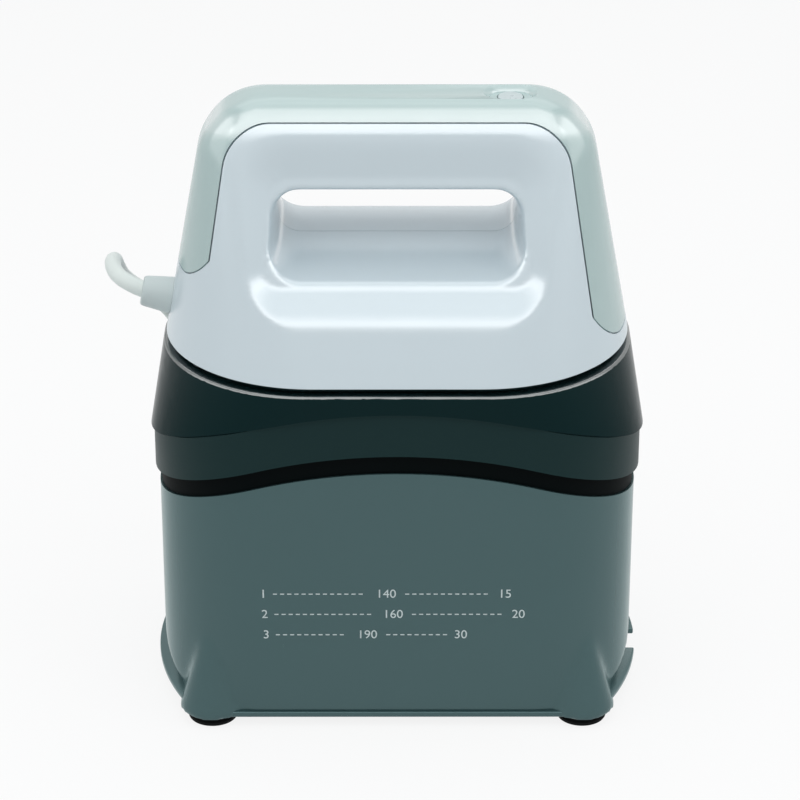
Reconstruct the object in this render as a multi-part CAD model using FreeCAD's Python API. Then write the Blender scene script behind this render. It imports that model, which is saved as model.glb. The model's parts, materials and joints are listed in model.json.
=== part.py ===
import FreeCAD, Part
import math
import os

# Mini hand-held heat press with a curved plate, parked in its deep safety base.
# Millimetres, +Z up. Origin: middle of the footprint, at the level that the feet stand on.
# The front looks along -Y. Front and rear are alike about the plane y = 0.

V = FreeCAD.Vector
X_AXIS = V(1, 0, 0)
Y_AXIS = V(0, 1, 0)
Z_AXIS = V(0, 0, 1)

# ---------------------------------------------------------------- driving dimensions
seam_radius = 211.0        # every wavy seam is an arc of this radius about an axis along Y

# safety base
base_width = 175.0
base_depth = 105.2
base_corner = 36.0
base_wall = 2.8
base_lift = 4.2            # the lower edge stands this far above the table
base_top = 105.5           # top edge, in the middle
side_round = 20.0          # the side walls turn in below with this radius
boss_x = 68.7              # corner bosses and feet
boss_y = 44.2
boss_radius = 12.6
boss_height = 32.0
boss_tip_radius = 3.0
foot_height = 4.0
foot_radius = 9.2
foot_pin_radius = 2.5
foot_pin_length = 4.0
foot_groove = 0.6
foot_groove_height = 2.2
lip_reach = 91.0           # side lips, half the width over both
lip_half_length = 43.0
lip_bow_radius = 101.0
lip_thickness = 2.2
lip_height = 2.8           # above the lower edge
notch_from = -11.0         # the right lip is open between these two
notch_to = 2.5
bead_height = 2.2          # along the lower edge, front and rear
bead_proud = 0.9
floor_thickness = 2.5
floor_inset = 0.8
floor_screw_x = 50.0
floor_screw_y = 30.0
floor_screw_length = 12.0
post_radius = 4.5

# liner, the black tray that the press parks in
rim_height = 7.9
rim_inset = 0.8
liner_wall = 2.2
liner_fit = 0.3
pad_height = 8.0
pad_length = 22.0
pad_width = 8.0
pad_corner = 3.5
pad_x = 62.0
pad_y = 30.0

# heating stack
plate_length = 161.0
plate_width = 91.0
plate_corner = 30.0
plate_thickness = 8.0
plate_below_skirt = 9.7
element_length = 124.0
element_width = 64.0
element_band = 12.0
element_thickness = 3.0
mat_inset = 3.5
mat_thickness = 6.0
shield_inset = 2.0
shield_thickness = 1.2
plate_screw_x = 70.0
plate_screw_y = 29.0
plate_screw_radius = 2.0
plate_screw_head = 3.2
plate_screw_socket = 1.6
thermostat_radius = 8.0
thermostat_height = 9.0
thermostat_ear_length = 25.6
thermostat_ear_width = 5.4
fuse_radius = 2.2
fuse_length = 14.0
fuse_x = 26.0

# skirt and collar
skirt_width = 177.8
skirt_depth = 110.0
skirt_corner = 38.0
skirt_wall = 3.0
skirt_height = 17.3
plate_gap = 1.0
collar_bottom_width = 179.6
collar_bottom_depth = 114.0
collar_bottom_corner = 38.0
collar_top_width = 170.6
collar_top_depth = 113.2
collar_top_corner = 54.0
collar_height = 7.0        # in the middle, above the seam
collar_wall = 3.0
collar_web = 2.5
collar_edge = 1.5
neck_height = 1.8
collar_post_radius = 5.0

# handle shell
shell_width = 168.8        # at its lower edge
shell_depth = 110.6
shell_gap = 2.6            # dark joint between collar and shell
shell_height = 90.2
side_lean = 0.186          # run over rise of the ends
shell_crest = 33.4         # depth where the upper edge starts to round over
crown_radius = 26.0        # upper corners, seen from the front
rim_radius = 8.0           # upper edge, seen from the side
end_round_low = 54.5       # plan radius of the ends, lower edge
end_round_high = 9.0       # and where the rim starts
end_round_top = 1.6
shell_wall = 3.0

# finger opening and the dish round it
opening_width = 86.0
opening_low = 177.4
opening_high = 198.0
opening_corner = 8.0
flare_depths = (20.0, 34.0, 50.0)     # from the middle plane out, where it is measured again
flare_sides = (0.8, 3.2, 9.0)         # how much wider it is there on each side
flare_floors = (1.6, 4.6, 11.0)       # how much lower its floor is there
flare_roofs = (4.0, 13.0, 30.0)       # how much higher its roof is there
flare_corners = (9.0, 12.0, 18.0)
dish_low = 161.3           # levels of its lower and upper edge
dish_high = 219.6
dish_half_low = 59.0
dish_half_high = 54.0
dish_corner = 17.0
dish_depth = 4.4
dish_slope = 10.5          # width of its sloping sides and foot
dish_brow = 15.0           # and of its upper slope

# strap over the top
strap_thickness = 1.4
strap_side = 9.2           # width of the band, seen from the front
strap_taper = 0.156
strap_drop = 6.1           # front edge of the strap below the top
strap_inner_corner = 17.0
strap_joint = 0.5
strap_end_levels = (146.3, 169.4)     # right and left; the left one ends above the lead
strap_end_radii = (15.0, 10.0)
strap_end_shares = (0.625, 0.694)     # half width of an end, as a share of the depth there
strap_under = 0.1

# control
button_x = 40.3
control_length = 19.0
control_width = 14.0
control_depth = 2.2
button_radius = 4.6
button_proud = 0.9
button_travel = 1.0
button_fit = 0.25
stem_radius = 1.6
board_length = 30.0
board_width = 17.0
board_thickness = 1.4
board_drop = 12.5
shelf_thickness = 2.4
shelf_overlap = 2.5
flange_edge = 2.4
switch_size = 6.0
switch_height = 3.4
chip_length = 4.5
chip_width = 8.5
chip_height = 1.2
chip_x = 7.5               # from the middle of the control board

# power board
power_length = 92.0
power_width = 52.0
power_height = 6.0
power_leg_inset = 5.0
relay_size = (19.0, 15.5, 15.0)
relay_inset = 14.0
capacitor_radius = 5.0
capacitor_height = 12.0
capacitor_inset = 30.0
terminal_size = (10.0, 18.0, 9.0)
terminal_inset = 10.0
tilt_radius = 3.0
tilt_length = 12.0

# fasteners
screw_radius = 1.5
screw_head_radius = 2.9
screw_head_height = 2.0
screw_head_round = 0.8
screw_slot_length = 3.2
screw_slot_width = 0.8
screw_fit = 0.15
boss_wall = 2.2
handle_screw_x = 20.0
handle_screw_z = 209.0
shell_screw_x = 58.0
shell_screw_z = 151.0
screw_recess = 3.0
shell_recess = 14.0
front_thread = 12.0        # how far the screws reach into the front shell
deck_boss = 14.0
deck_screw_length = 12.5
screw_end = 2.0            # what is left of a boss past its hole
deck_screw_x = 44.0
deck_screw_y = 36.0

# lead
cord_diameter = 6.0
relief_height = 151.9      # where the axis of the strain relief leaves the shell
relief_base_radius = 6.8
relief_tip_radius = 5.5
relief_length = 11.0
relief_flange = 8.0
relief_flange_thickness = 2.0
relief_gap = 1.2           # behind the wall, whose inside is curved
relief_tail = 10.8
clamp_inset = 9.0
clamp_length = 7.0
clamp_wall = 4.0
cord_fit = 0.1
bend_share = 0.45          # of a run, that the arc at its end may take
coil_centre = (-16.2, 112.0)
coil_outer_turn = 44.0
coil_inner_turn = 22.4
coil_layers = 2
coil_lift = 0.4
plug_length = 34.0
plug_width = 24.0
plug_thickness = 17.0
plug_neck = 10.8           # width where the cord enters
plug_shoulder = 18.7       # from there to the full width
plug_round = 3.7
blade_length = 17.0
blade_width = 6.4
blade_thickness = 1.5
blade_pitch = 12.7

seat = 0.3                 # between the press and its base
fit = 0.2                  # between pieces that are fastened to each other

# ---------------------------------------------------------------- derived levels
rim_top = base_top + rim_height
skirt_bottom = rim_top + seat
collar_seam = skirt_bottom + skirt_height
plate_bottom = skirt_bottom - plate_below_skirt
plate_top = plate_bottom + plate_thickness
element_top = plate_top + element_thickness
mat_top = element_top + mat_thickness
shield_top = mat_top + shield_thickness
tray_floor = plate_bottom - pad_height
floor_bottom = base_lift + floor_inset
floor_top = floor_bottom + floor_thickness
deck_top = collar_seam + collar_height
deck_bottom = deck_top - collar_web
shell_bottom = deck_top + shell_gap
shell_top = shell_bottom + shell_height
face_lean = (shell_depth - shell_crest) / 2 / (shell_height - rim_radius)   # run over rise


# ---------------------------------------------------------------- shared forms
def rounded_wire(half_x, half_y, radius, level):
    """Rounded rectangle about the Z axis, as a wire at one level."""
    r = min(radius, half_x - 0.3, half_y - 0.3)
    k = r * math.sqrt(0.5)
    edges = []
    for turn in range(4):
        angle = 90.0 * turn
        hx, hy = (half_x, half_y) if turn % 2 == 0 else (half_y, half_x)
        start = V(hx, -hy + r, level)
        end = V(hx, hy - r, level)
        middle = V(hx - r + k, hy - r + k, level)
        after = V(hx - r, hy, level)
        for edge in (Part.makeLine(start, end), Part.Arc(end, middle, after).toShape()):
            edge.rotate(V(0, 0, 0), Z_AXIS, angle)
            edges.append(edge)
    return Part.Wire(Part.__sortEdges__(edges))


def block(half_x, half_y, radius, low, high):
    face = Part.Face(rounded_wire(half_x, half_y, radius, low))
    return face.extrude(V(0, 0, high - low))


def under_seam(level):
    """All that lies below a seam whose middle is at this level."""
    reach = 3 * seam_radius
    return Part.makeCylinder(seam_radius, reach, V(0, -reach / 2, level - seam_radius), Y_AXIS)


def band(half_x, half_y, radius, low, high):
    """Rounded block between two wavy seams."""
    raw = block(half_x, half_y, radius, low - seam_sag(half_x) - 1, high + 1)
    return raw.common(under_seam(high)).cut(under_seam(low))


def seam_sag(x):
    return seam_radius - math.sqrt(seam_radius ** 2 - x ** 2)


def box_between(low, high):
    size = [b - a for a, b in zip(low, high)]
    return Part.makeBox(size[0], size[1], size[2], V(*low))


def four(x, y):
    return [(sx * x, sy * y) for sx in (-1, 1) for sy in (-1, 1)]


def fuse(shapes):
    return shapes[0].multiFuse(shapes[1:]).removeSplitter() if len(shapes) > 1 else shapes[0]


def posts(places, radius, low, high):
    return [Part.makeCylinder(radius, high - low, V(x, y, low)) for x, y in places]


def drilled(shape, places, radius, low, high):
    for hole in posts(places, radius, low, high):
        shape = shape.cut(hole)
    return shape


def upper_edges(shape, level):
    return [e for e in shape.Edges if e.BoundBox.ZMin > level - 0.01]


def screw(length):
    """Pan screw with a cross recess, head up, its seat at the origin, shank along -Z."""
    head = Part.makeCylinder(screw_head_radius, screw_head_height)
    head = head.makeFillet(screw_head_round, upper_edges(head, screw_head_height))
    for size_x, size_y in ((screw_slot_length, screw_slot_width), (screw_slot_width, screw_slot_length)):
        low = V(-size_x / 2, -size_y / 2, screw_head_height / 2)
        head = head.cut(Part.makeBox(size_x, size_y, screw_head_height, low))
    return head.fuse(Part.makeCylinder(screw_radius, length, V(0, 0, -length)))


def turned(shape, direction, place):
    """A shape made along +Z, turned to another direction and put in its place."""
    copy = shape.copy()
    copy.Placement = FreeCAD.Placement(V(*place), FreeCAD.Rotation(Z_AXIS, V(*direction)))
    return copy


# ---------------------------------------------------------------- safety base
def side_rounds(inset):
    """What the turned-in side walls leave away below, on both sides."""
    centre_x = base_width / 2 - side_round
    centre_z = base_lift + side_round
    radius = side_round - inset
    depth = base_depth + 2
    corner = Part.makeBox(side_round + 1, depth, side_round + 1, V(centre_x, -depth / 2, base_lift - 1))
    drum = Part.makeCylinder(radius, depth, V(centre_x, -depth / 2, centre_z), Y_AXIS)
    right = corner.cut(drum)
    return [right, right.mirror(V(0, 0, 0), X_AXIS)]


def base_plan(inset):
    return base_width / 2 - inset, base_depth / 2 - inset, base_corner - inset


def base_body(inset, low):
    raw = block(*base_plan(inset), low, base_top + 1)
    for corner in side_rounds(inset):
        raw = raw.cut(corner)
    return raw


def corner_boss(grow=0.0):
    """Leaning cone from a foot up into the rounded corner of the wall."""
    centre = V(base_width / 2 - base_corner, base_depth / 2 - base_corner, 0)
    outward = (V(boss_x, boss_y, 0) - centre).normalize()
    tip = centre + outward * (base_corner - boss_tip_radius)
    low = Part.makeCircle(boss_radius + grow, V(boss_x, boss_y, foot_height))
    high = Part.makeCircle(boss_tip_radius + grow, V(tip.x, tip.y, foot_height + boss_height))
    return Part.makeLoft([Part.Wire(low), Part.Wire(high)], True, True)


def on_four_corners(shape):
    """Copies of a shape from the +X +Y corner, on all four corners."""
    right = [shape, shape.mirror(V(0, 0, 0), Y_AXIS)]
    return right + [s.mirror(V(0, 0, 0), X_AXIS) for s in right]


def side_lips():
    low = base_lift + lip_height
    bow = Part.makeCylinder(lip_bow_radius, lip_thickness, V(lip_reach - lip_bow_radius, 0, low))
    reach = box_between((base_width / 2 - side_round, -lip_half_length, low - 1),
                        (lip_reach + 1, lip_half_length, low + lip_thickness + 1))
    right = bow.common(reach)
    left = right.mirror(V(0, 0, 0), X_AXIS)
    notch = box_between((base_width / 2 - side_round, notch_from, low - 1),
                        (lip_reach + 2, notch_to, low + lip_thickness + 1))
    return [right.cut(notch), left]


def foot_beads():
    """Bead along the lower edge of the front and the rear wall, from boss to boss."""
    inner, outer = base_depth / 2 - base_wall / 2, base_depth / 2 + bead_proud
    top = base_lift + bead_height
    return [box_between((-boss_x, min(side * inner, side * outer), base_lift),
                        (boss_x, max(side * inner, side * outer), top)) for side in (-1, 1)]


def base_shell():
    outer = base_body(0, base_lift)
    hollow = base_body(base_wall, base_lift - 1)
    shell = fuse([outer] + side_lips() + foot_beads()).cut(hollow)
    shell = fuse([shell] + on_four_corners(corner_boss()))
    shell = drilled(shell, four(boss_x, boss_y), foot_pin_radius + fit, foot_height - 1,
                    foot_height + foot_pin_length + fit)
    return shell.common(under_seam(base_top))


def base_feet():
    disc = Part.makeCylinder(foot_radius, foot_height)
    ring = Part.makeTorus(foot_radius, foot_groove, V(0, 0, foot_groove_height))
    pin = Part.makeCylinder(foot_pin_radius, foot_pin_length, V(0, 0, foot_height))
    foot = disc.cut(ring).fuse(pin)
    return Part.makeCompound([foot.translated(V(x, y, 0)) for x, y in four(boss_x, boss_y)])


def base_floor():
    inset = base_wall + fit
    half_x = base_width / 2 - side_round - fit
    half_y = base_depth / 2 - inset
    plate = block(*base_plan(inset), floor_bottom, floor_top)
    plate = plate.common(box_between((-half_x, -half_y, floor_bottom), (half_x, half_y, floor_top)))
    for boss in on_four_corners(corner_boss(fit)):
        plate = plate.cut(boss)
    places = four(floor_screw_x, floor_screw_y)
    return drilled(plate, places, screw_radius + screw_fit, floor_bottom - 1, floor_top + 1)


def floor_screws():
    one = turned(screw(floor_screw_length), (0, 0, -1), (0, 0, floor_bottom))
    return Part.makeCompound([one.translated(V(x, y, 0)) for x, y in four(floor_screw_x, floor_screw_y)])


def base_liner():
    outer = base_plan(base_wall + liner_fit)
    inner = base_plan(base_wall + liner_fit + liner_wall)
    places = four(floor_screw_x, floor_screw_y)
    rim = band(*base_plan(rim_inset), base_top, rim_top)
    tray = band(*outer, tray_floor - liner_wall, base_top + rim_height / 2)
    legs = posts(places, post_radius, floor_top, tray_floor - seam_sag(floor_screw_x))
    liner = fuse([rim, tray] + legs)
    well = block(*inner, tray_floor - seam_sag(inner[0]) - 1, rim_top + 1)
    liner = liner.cut(well.cut(under_seam(tray_floor)))
    hole_top = floor_bottom + floor_screw_length + 1
    return drilled(liner, places, screw_radius + screw_fit, floor_top - 1, hole_top)


def rest_pads():
    low = tray_floor - seam_sag(pad_x + pad_length)
    raw = block(pad_length / 2, pad_width / 2, pad_corner, low, plate_bottom)
    pads = []
    for x, y in four(pad_x, pad_y):
        pad = raw.translated(V(x, y, 0))
        pads.append(pad.common(under_seam(plate_bottom - seat)).cut(under_seam(tray_floor)))
    return Part.makeCompound(pads)


# ---------------------------------------------------------------- heating stack
def plate_places():
    return four(plate_screw_x, plate_screw_y)


def heat_plate():
    plate = band(plate_length / 2, plate_width / 2, plate_corner, plate_bottom, plate_top)
    sag = seam_sag(plate_screw_x)
    blind = plate_bottom - sag + plate_thickness / 3
    return drilled(plate, plate_places(), plate_screw_radius + screw_fit, blind, plate_top + 1)


def heating_element():
    half_x, half_y = element_length / 2, element_width / 2
    outer = band(half_x, half_y, half_y, plate_top, element_top)
    low = plate_top - seam_sag(half_x) - 2
    inner = block(half_x - element_band, half_y - element_band, half_y - element_band, low, element_top + 2)
    return outer.cut(inner)


def insulation_mat():
    half_x = plate_length / 2 - mat_inset
    half_y = plate_width / 2 - mat_inset
    mat = band(half_x, half_y, plate_corner - mat_inset, element_top, mat_top)
    low = plate_bottom - seam_sag(half_x)
    return drilled(mat, plate_places(), plate_screw_radius + screw_fit, low, mat_top + 1)


def heat_shield():
    half_x = plate_length / 2 - shield_inset
    half_y = plate_width / 2 - shield_inset
    corner = plate_corner - shield_inset
    top = band(half_x, half_y, corner, mat_top, shield_top)
    skin = band(half_x, half_y, corner, plate_top, mat_top)
    core = block(half_x - shield_thickness, half_y - shield_thickness, corner - shield_thickness,
                 plate_top - seam_sag(half_x) - 2, mat_top + 2)
    shield = fuse([top, skin.cut(core)])
    return drilled(shield, plate_places(), plate_screw_radius + screw_fit, plate_bottom, shield_top + 1)


def plate_screws():
    tip = plate_top - seam_sag(plate_screw_x) - plate_thickness / 2
    head = Part.makeCylinder(plate_screw_head, collar_web / 2, V(0, 0, -collar_web / 2))
    socket = Part.makeCylinder(plate_screw_socket, collar_web / 3, V(0, 0, -collar_web / 3))
    shank = Part.makeCylinder(plate_screw_radius, deck_top - tip, V(0, 0, tip - deck_top))
    one = fuse([head, shank]).cut(socket)
    return Part.makeCompound([one.translated(V(x, y, deck_top)) for x, y in plate_places()])


def thermostat():
    low = shield_top - seam_sag(thermostat_radius)
    can = Part.makeCylinder(thermostat_radius, thermostat_height, V(0, 0, low))
    half_x, half_y = thermostat_ear_width / 2, thermostat_ear_length / 2
    ear = box_between((-half_x, -half_y, shield_top), (half_x, half_y, shield_top + shield_thickness))
    return fuse([can.cut(under_seam(shield_top)), ear])


def thermal_fuse():
    low = shield_top - seam_sag(fuse_x)
    tube = Part.makeCylinder(fuse_radius, fuse_length, V(fuse_x, -fuse_length / 2, low + fuse_radius), Y_AXIS)
    saddle = box_between((fuse_x - 2 * fuse_radius, -fuse_radius, low - 2 * fuse_radius),
                         (fuse_x + 2 * fuse_radius, fuse_radius, low + fuse_radius))
    return fuse([tube, saddle]).cut(under_seam(shield_top))


# ---------------------------------------------------------------- skirt and collar
def skirt():
    half_x, half_y = skirt_width / 2, skirt_depth / 2
    outer = band(half_x, half_y, skirt_corner, skirt_bottom, collar_seam - seat)
    low = skirt_bottom - seam_sag(half_x) - 2
    inner = block(half_x - skirt_wall, half_y - skirt_wall, skirt_corner - skirt_wall, low, collar_seam)
    ring = outer.cut(inner.cut(under_seam(skirt_bottom + skirt_wall)))
    mouth = block(plate_length / 2 + plate_gap, plate_width / 2 + plate_gap, plate_corner + plate_gap,
                  low, collar_seam)
    return ring.cut(mouth)


def collar_cone(inset, low, high):
    """Flared body of the collar, between two levels, drawn in by the inset."""
    span = deck_top - (collar_seam - seam_sag(collar_bottom_width / 2))
    rings = []
    for level in (low, high):
        t = (deck_top - level) / span
        half_x = (collar_top_width + (collar_bottom_width - collar_top_width) * t) / 2 - inset
        half_y = (collar_top_depth + (collar_bottom_depth - collar_top_depth) * t) / 2 - inset
        corner = collar_top_corner + (collar_bottom_corner - collar_top_corner) * t - inset
        rings.append(rounded_wire(half_x, half_y, corner, level))
    return Part.makeLoft(rings, True, True)


def collar():
    low = collar_seam - seam_sag(collar_bottom_width / 2) - 2
    outer = collar_cone(0, low, deck_top)
    outer = outer.makeFillet(collar_edge, upper_edges(outer, deck_top))
    shell = outer.cut(collar_cone(collar_wall, low - 1, deck_bottom)).cut(under_seam(collar_seam))
    neck_in = shell_wall + fit
    half_x, half_y = shell_width / 2 - neck_in, shell_depth / 2 - neck_in
    top = shell_bottom + neck_height
    neck = block(half_x, half_y, end_round_low - neck_in, deck_top - collar_web / 2, top)
    bore = block(half_x - collar_wall, half_y - collar_wall, end_round_low - neck_in - collar_wall,
                 deck_top, top + 1)
    reach = side_lean * neck_height + fit
    neck = neck.common(collar_neck_taper(neck_in, reach)).cut(bore)
    stems = posts(plate_places(), collar_post_radius, shield_top - seam_sag(plate_screw_x), deck_bottom)
    stems = [stem.cut(under_seam(shield_top)) for stem in stems]
    whole = fuse([shell, neck] + stems)
    above = deck_top + 1
    whole = drilled(whole, plate_places(), plate_screw_radius + screw_fit, plate_bottom, above)
    whole = drilled(whole, plate_places(), plate_screw_head + screw_fit, deck_top - collar_web / 2, above)
    return drilled(whole, four(deck_screw_x, deck_screw_y), screw_radius + screw_fit, deck_bottom - 1, above)


def collar_neck_taper(inset, reach):
    """Keeps the neck inside the leaning walls of the handle shell."""
    half_x, half_y = shell_width / 2, shell_depth / 2
    low = rounded_wire(half_x - inset, half_y - inset, end_round_low - inset, deck_bottom)
    high_in = inset + face_lean * (shell_gap + neck_height)
    high = rounded_wire(half_x - inset - reach, half_y - high_in, end_round_low - high_in,
                        shell_bottom + neck_height)
    return Part.makeLoft([low, high], True, True)


# ---------------------------------------------------------------- handle shell
def handle_half_x(level, inset):
    """Half the width at a level: a leaning line, then the crown's arc."""
    slant = math.sqrt(1 + side_lean ** 2)
    centre_z = shell_top - crown_radius
    centre_x = shell_width / 2 - side_lean * (centre_z - shell_bottom) - crown_radius * slant
    radius = crown_radius - inset
    if level > centre_z + radius * side_lean / slant:
        return centre_x + math.sqrt(max(radius ** 2 - (level - centre_z) ** 2, 0))
    return shell_width / 2 - side_lean * (level - shell_bottom) - inset * slant


def handle_half_y(level, inset):
    """Half the depth at a level: a leaning line, then the rim's arc."""
    slant = math.sqrt(1 + face_lean ** 2)
    centre_z = shell_top - rim_radius
    centre_y = shell_depth / 2 - face_lean * (centre_z - shell_bottom) - rim_radius * slant
    radius = rim_radius - inset
    if level > centre_z + radius * face_lean / slant:
        return centre_y + math.sqrt(max(radius ** 2 - (level - centre_z) ** 2, 0))
    return shell_depth / 2 - face_lean * (level - shell_bottom) - inset * slant


def handle_round(level, inset):
    """Plan radius of the ends at a level."""
    rim_level = shell_top - rim_radius
    if level < rim_level:
        t = (level - shell_bottom) / (rim_level - shell_bottom)
        return end_round_low + (end_round_high - end_round_low) * t - inset
    t = (level - rim_level) / (shell_top - rim_level)
    return max(end_round_high + (end_round_top - end_round_high) * t - inset, 0.3)


def handle_body(inset, low):
    """The closed form of the handle, drawn in by the inset, from a level up."""
    crown = shell_top - crown_radius
    rim = shell_top - rim_radius
    top = shell_top - inset
    levels = [low + (crown - low) * k / 4 for k in range(5)]
    levels += [crown + (rim - crown) * k / 4 for k in (1, 2, 3, 4)]
    rim_angles = (22.5, 45.0, 62.0, 76.0, 84.0, 90.0)
    levels += [rim + (top - rim) * math.sin(math.radians(angle)) for angle in rim_angles]
    rings = []
    for level in levels:
        half_x, half_y = handle_half_x(level, inset), handle_half_y(level, inset)
        rings.append(rounded_wire(half_x, half_y, handle_round(level, inset), level))
    return Part.makeLoft(rings, True, False)


def opening_ring(depth, side, floor_drop, roof_rise, corner, grow):
    """One section of the finger opening, as a wire in the front view at y = -depth."""
    half = opening_width / 2 + side + grow
    low = opening_low - floor_drop - grow
    high = opening_high + roof_rise + grow
    ring = rounded_wire(half, (high - low) / 2, corner + grow, 0)
    ring.rotate(V(0, 0, 0), X_AXIS, 90)
    ring.translate(V(0, -depth, (low + high) / 2))
    return ring


def opening_cut(grow=0.0):
    rings = [opening_ring(0.0, 0, 0, 0, opening_corner, grow)]
    for row in zip(flare_depths, flare_sides, flare_floors, flare_roofs, flare_corners):
        rings.append(opening_ring(*row, grow))
    front = Part.makeLoft(rings, True, False)
    return [front, front.mirror(V(0, 0, 0), Y_AXIS)]


def dish_ring(share, grow):
    """Rounded trapezoid parallel to the leaning face, between the edge (0) and the floor (1) of the dish."""
    slant = math.sqrt(1 + face_lean ** 2)
    spread = grow - share * dish_slope
    low = dish_low - spread
    high = dish_low + (dish_high - dish_low) * slant + grow - share * dish_brow
    half_low, half_high = dish_half_low + spread, dish_half_high + spread
    points = [(-half_low, low), (half_low, low), (half_high, high), (-half_high, high)]
    wire = rounded_polygon(points, dish_corner + spread)
    return lay_on_face(wire, share * dish_depth + grow)


def rounded_polygon(points, radius):
    """Closed wire in the front view (x, z at y = 0) with every corner an arc."""
    edges = []
    ends = []
    count = len(points)
    for k in range(count):
        before, here, after = V(*points[k - 1]), V(*points[k]), V(*points[(k + 1) % count])
        into = (before - here).normalize()
        out = (after - here).normalize()
        half = into.getAngle(out) / 2
        reach = radius / math.tan(half)
        start, end = here + into * reach, here + out * reach
        middle = here + (into + out).normalize() * (radius / math.sin(half) - radius)
        ends.append((start, middle, end))
    for k in range(count):
        start, middle, end = [V(p.x, 0, p.y) for p in ends[k]]
        following = V(ends[(k + 1) % count][0].x, 0, ends[(k + 1) % count][0].y)
        edges.append(Part.Arc(start, middle, end).toShape())
        edges.append(Part.makeLine(end, following))
    return Part.Wire(edges)


def lay_on_face(wire, depth):
    """Puts an outline of the front view on the leaning front face, sunk by the depth."""
    foot = V(0, 0, dish_low)
    wire.rotate(foot, X_AXIS, -math.degrees(math.atan(face_lean)))
    slant = math.sqrt(1 + face_lean ** 2)
    front = shell_depth / 2 - face_lean * (dish_low - shell_bottom)
    wire.translate(V(0, -(front - depth * slant), 0))
    return wire


def dish_cut(grow=0.0):
    lift = 2.0
    above = -(lift + grow) / dish_depth
    front = Part.makeLoft([dish_ring(1.0, grow), dish_ring(above, grow)], True, True)
    return [front, front.mirror(V(0, 0, 0), Y_AXIS)]


def handle_line(level):
    return shell_width / 2 - side_lean * (level - shell_bottom)


def through(wire):
    """Prism along Y of a wire in the front view, long enough to pass the whole handle."""
    prism = Part.Face(wire).extrude(V(0, 2 * shell_depth, 0))
    prism.translate(V(0, -shell_depth, 0))
    return prism


def strap_region(grow):
    """Where the strap lies: outside a window in the front view, above a round end on each side."""
    top = shell_top - strap_drop - grow
    low = skirt_bottom
    far = 2 * shell_top
    edge = handle_line(top) - strap_side - grow
    foot = edge + strap_taper * (top - low)
    points = [(-foot, low), (foot, low), (edge, top), (-edge, top)]
    window = through(rounded_polygon(points, strap_inner_corner))
    sides = []
    for turn, level, radius, share in zip((90, -90), strap_end_levels, strap_end_radii, strap_end_shares):
        half = share * handle_half_y(level, 0) + grow
        points = [(-half, level - grow), (half, level - grow), (half, far), (-half, far)]
        face = Part.Face(rounded_polygon(points, min(radius + grow, half - 1)))
        face.rotate(V(0, 0, 0), Z_AXIS, 90)
        side = face.extrude(V(shell_width if turn > 0 else -shell_width, 0, 0))
        sides.append(side)
    return fuse(sides).cut(window)


def control_well(shrink, low, high):
    """Oval of the control dish between two levels."""
    half_x, half_y = control_length / 2 - shrink, control_width / 2 - shrink
    return block(half_x, half_y, half_y, low, high).translated(V(button_x, 0, 0))


def top_strap():
    strap = handle_body(0, shell_bottom).common(strap_region(0))
    strap = strap.cut(handle_body(strap_thickness, shell_bottom - 1))
    floor = shell_top - control_depth
    tub = control_well(-strap_thickness, floor - strap_thickness, shell_top - strap_thickness / 2)
    strap = fuse([strap, tub])
    half_y = control_width / 2
    low_ring = rounded_wire(control_length / 2 - control_depth, half_y - control_depth, half_y, floor)
    wider = control_depth / 2
    high_ring = rounded_wire(control_length / 2 + wider, half_y + wider, 2 * half_y, shell_top + wider)
    dish = Part.makeLoft([low_ring, high_ring], True, True).translated(V(button_x, 0, 0))
    hole = posts([(button_x, 0)], button_radius + button_fit, floor - 2 * strap_thickness, shell_top)[0]
    return strap.cut(dish).cut(hole)


def screw_places():
    """Axis, seat and boss of the screws that draw the rear shell to the front one."""
    slant = math.sqrt(1 + face_lean ** 2)
    upper = handle_half_y(handle_screw_z, 0) - dish_depth * slant - screw_recess
    lower = plan_edge(shell_screw_x, shell_screw_z) - shell_recess
    places = [(side * handle_screw_x, handle_screw_z, upper) for side in (-1, 1)]
    return places + [(side * shell_screw_x, shell_screw_z, lower) for side in (-1, 1)]


def plan_edge(x, level):
    """Half the depth of the handle at a place along its width and a level."""
    radius = handle_round(level, 0)
    over = max(x - (handle_half_x(level, 0) - radius), 0)
    return handle_half_y(level, 0) - radius + math.sqrt(radius ** 2 - over ** 2)


def along_y(x, z, radius, low, high):
    return Part.makeCylinder(radius, high - low, V(x, low, z), Y_AXIS)


def board_level():
    return shell_top - board_drop


def shell_supports():
    """Bosses, ribs and shelves that stand inside the handle shell."""
    wide = screw_head_radius + screw_fit + boss_wall
    bosses = [along_y(x, z, wide, -shell_depth, shell_depth) for x, z, seat_y in screw_places()]
    shelf_low = board_level() - board_thickness - shelf_thickness
    half = board_length / 2
    for side in (-1, 1):
        near, far = sorted((side * (board_width / 2 - shelf_overlap), side * shell_depth))
        bosses.append(box_between((button_x - half, near, shelf_low),
                                  (button_x + half, far, board_level() - board_thickness)))
    rib_low = shell_bottom + neck_height + fit
    post = screw_radius + screw_fit + boss_wall
    for x, y in four(deck_screw_x, deck_screw_y):
        bosses.append(Part.makeCylinder(post, deck_boss, V(x, y, deck_top + fit)))
        near, far = sorted((y, math.copysign(shell_depth, y)))
        bosses.append(box_between((x - boss_wall / 2, near, rib_low),
                                  (x + boss_wall / 2, far, deck_top + deck_boss)))
    return bosses


def relief_axis():
    slant = math.sqrt(1 + side_lean ** 2)
    return V(-1 / slant, 0, side_lean / slant)


def relief_place():
    return V(-handle_line(relief_height), 0, relief_height)


def on_relief_axis(radius, low, high, radius_end=None):
    """Cylinder or cone on the axis of the strain relief, between two distances from the surface."""
    if radius_end is None:
        shape = Part.makeCylinder(radius, high - low, V(0, 0, low))
    else:
        shape = Part.makeCone(radius, radius_end, high - low, V(0, 0, low))
    return turned(Part.makeCompound([shape]), relief_axis(), relief_place()).Solids[0]


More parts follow.
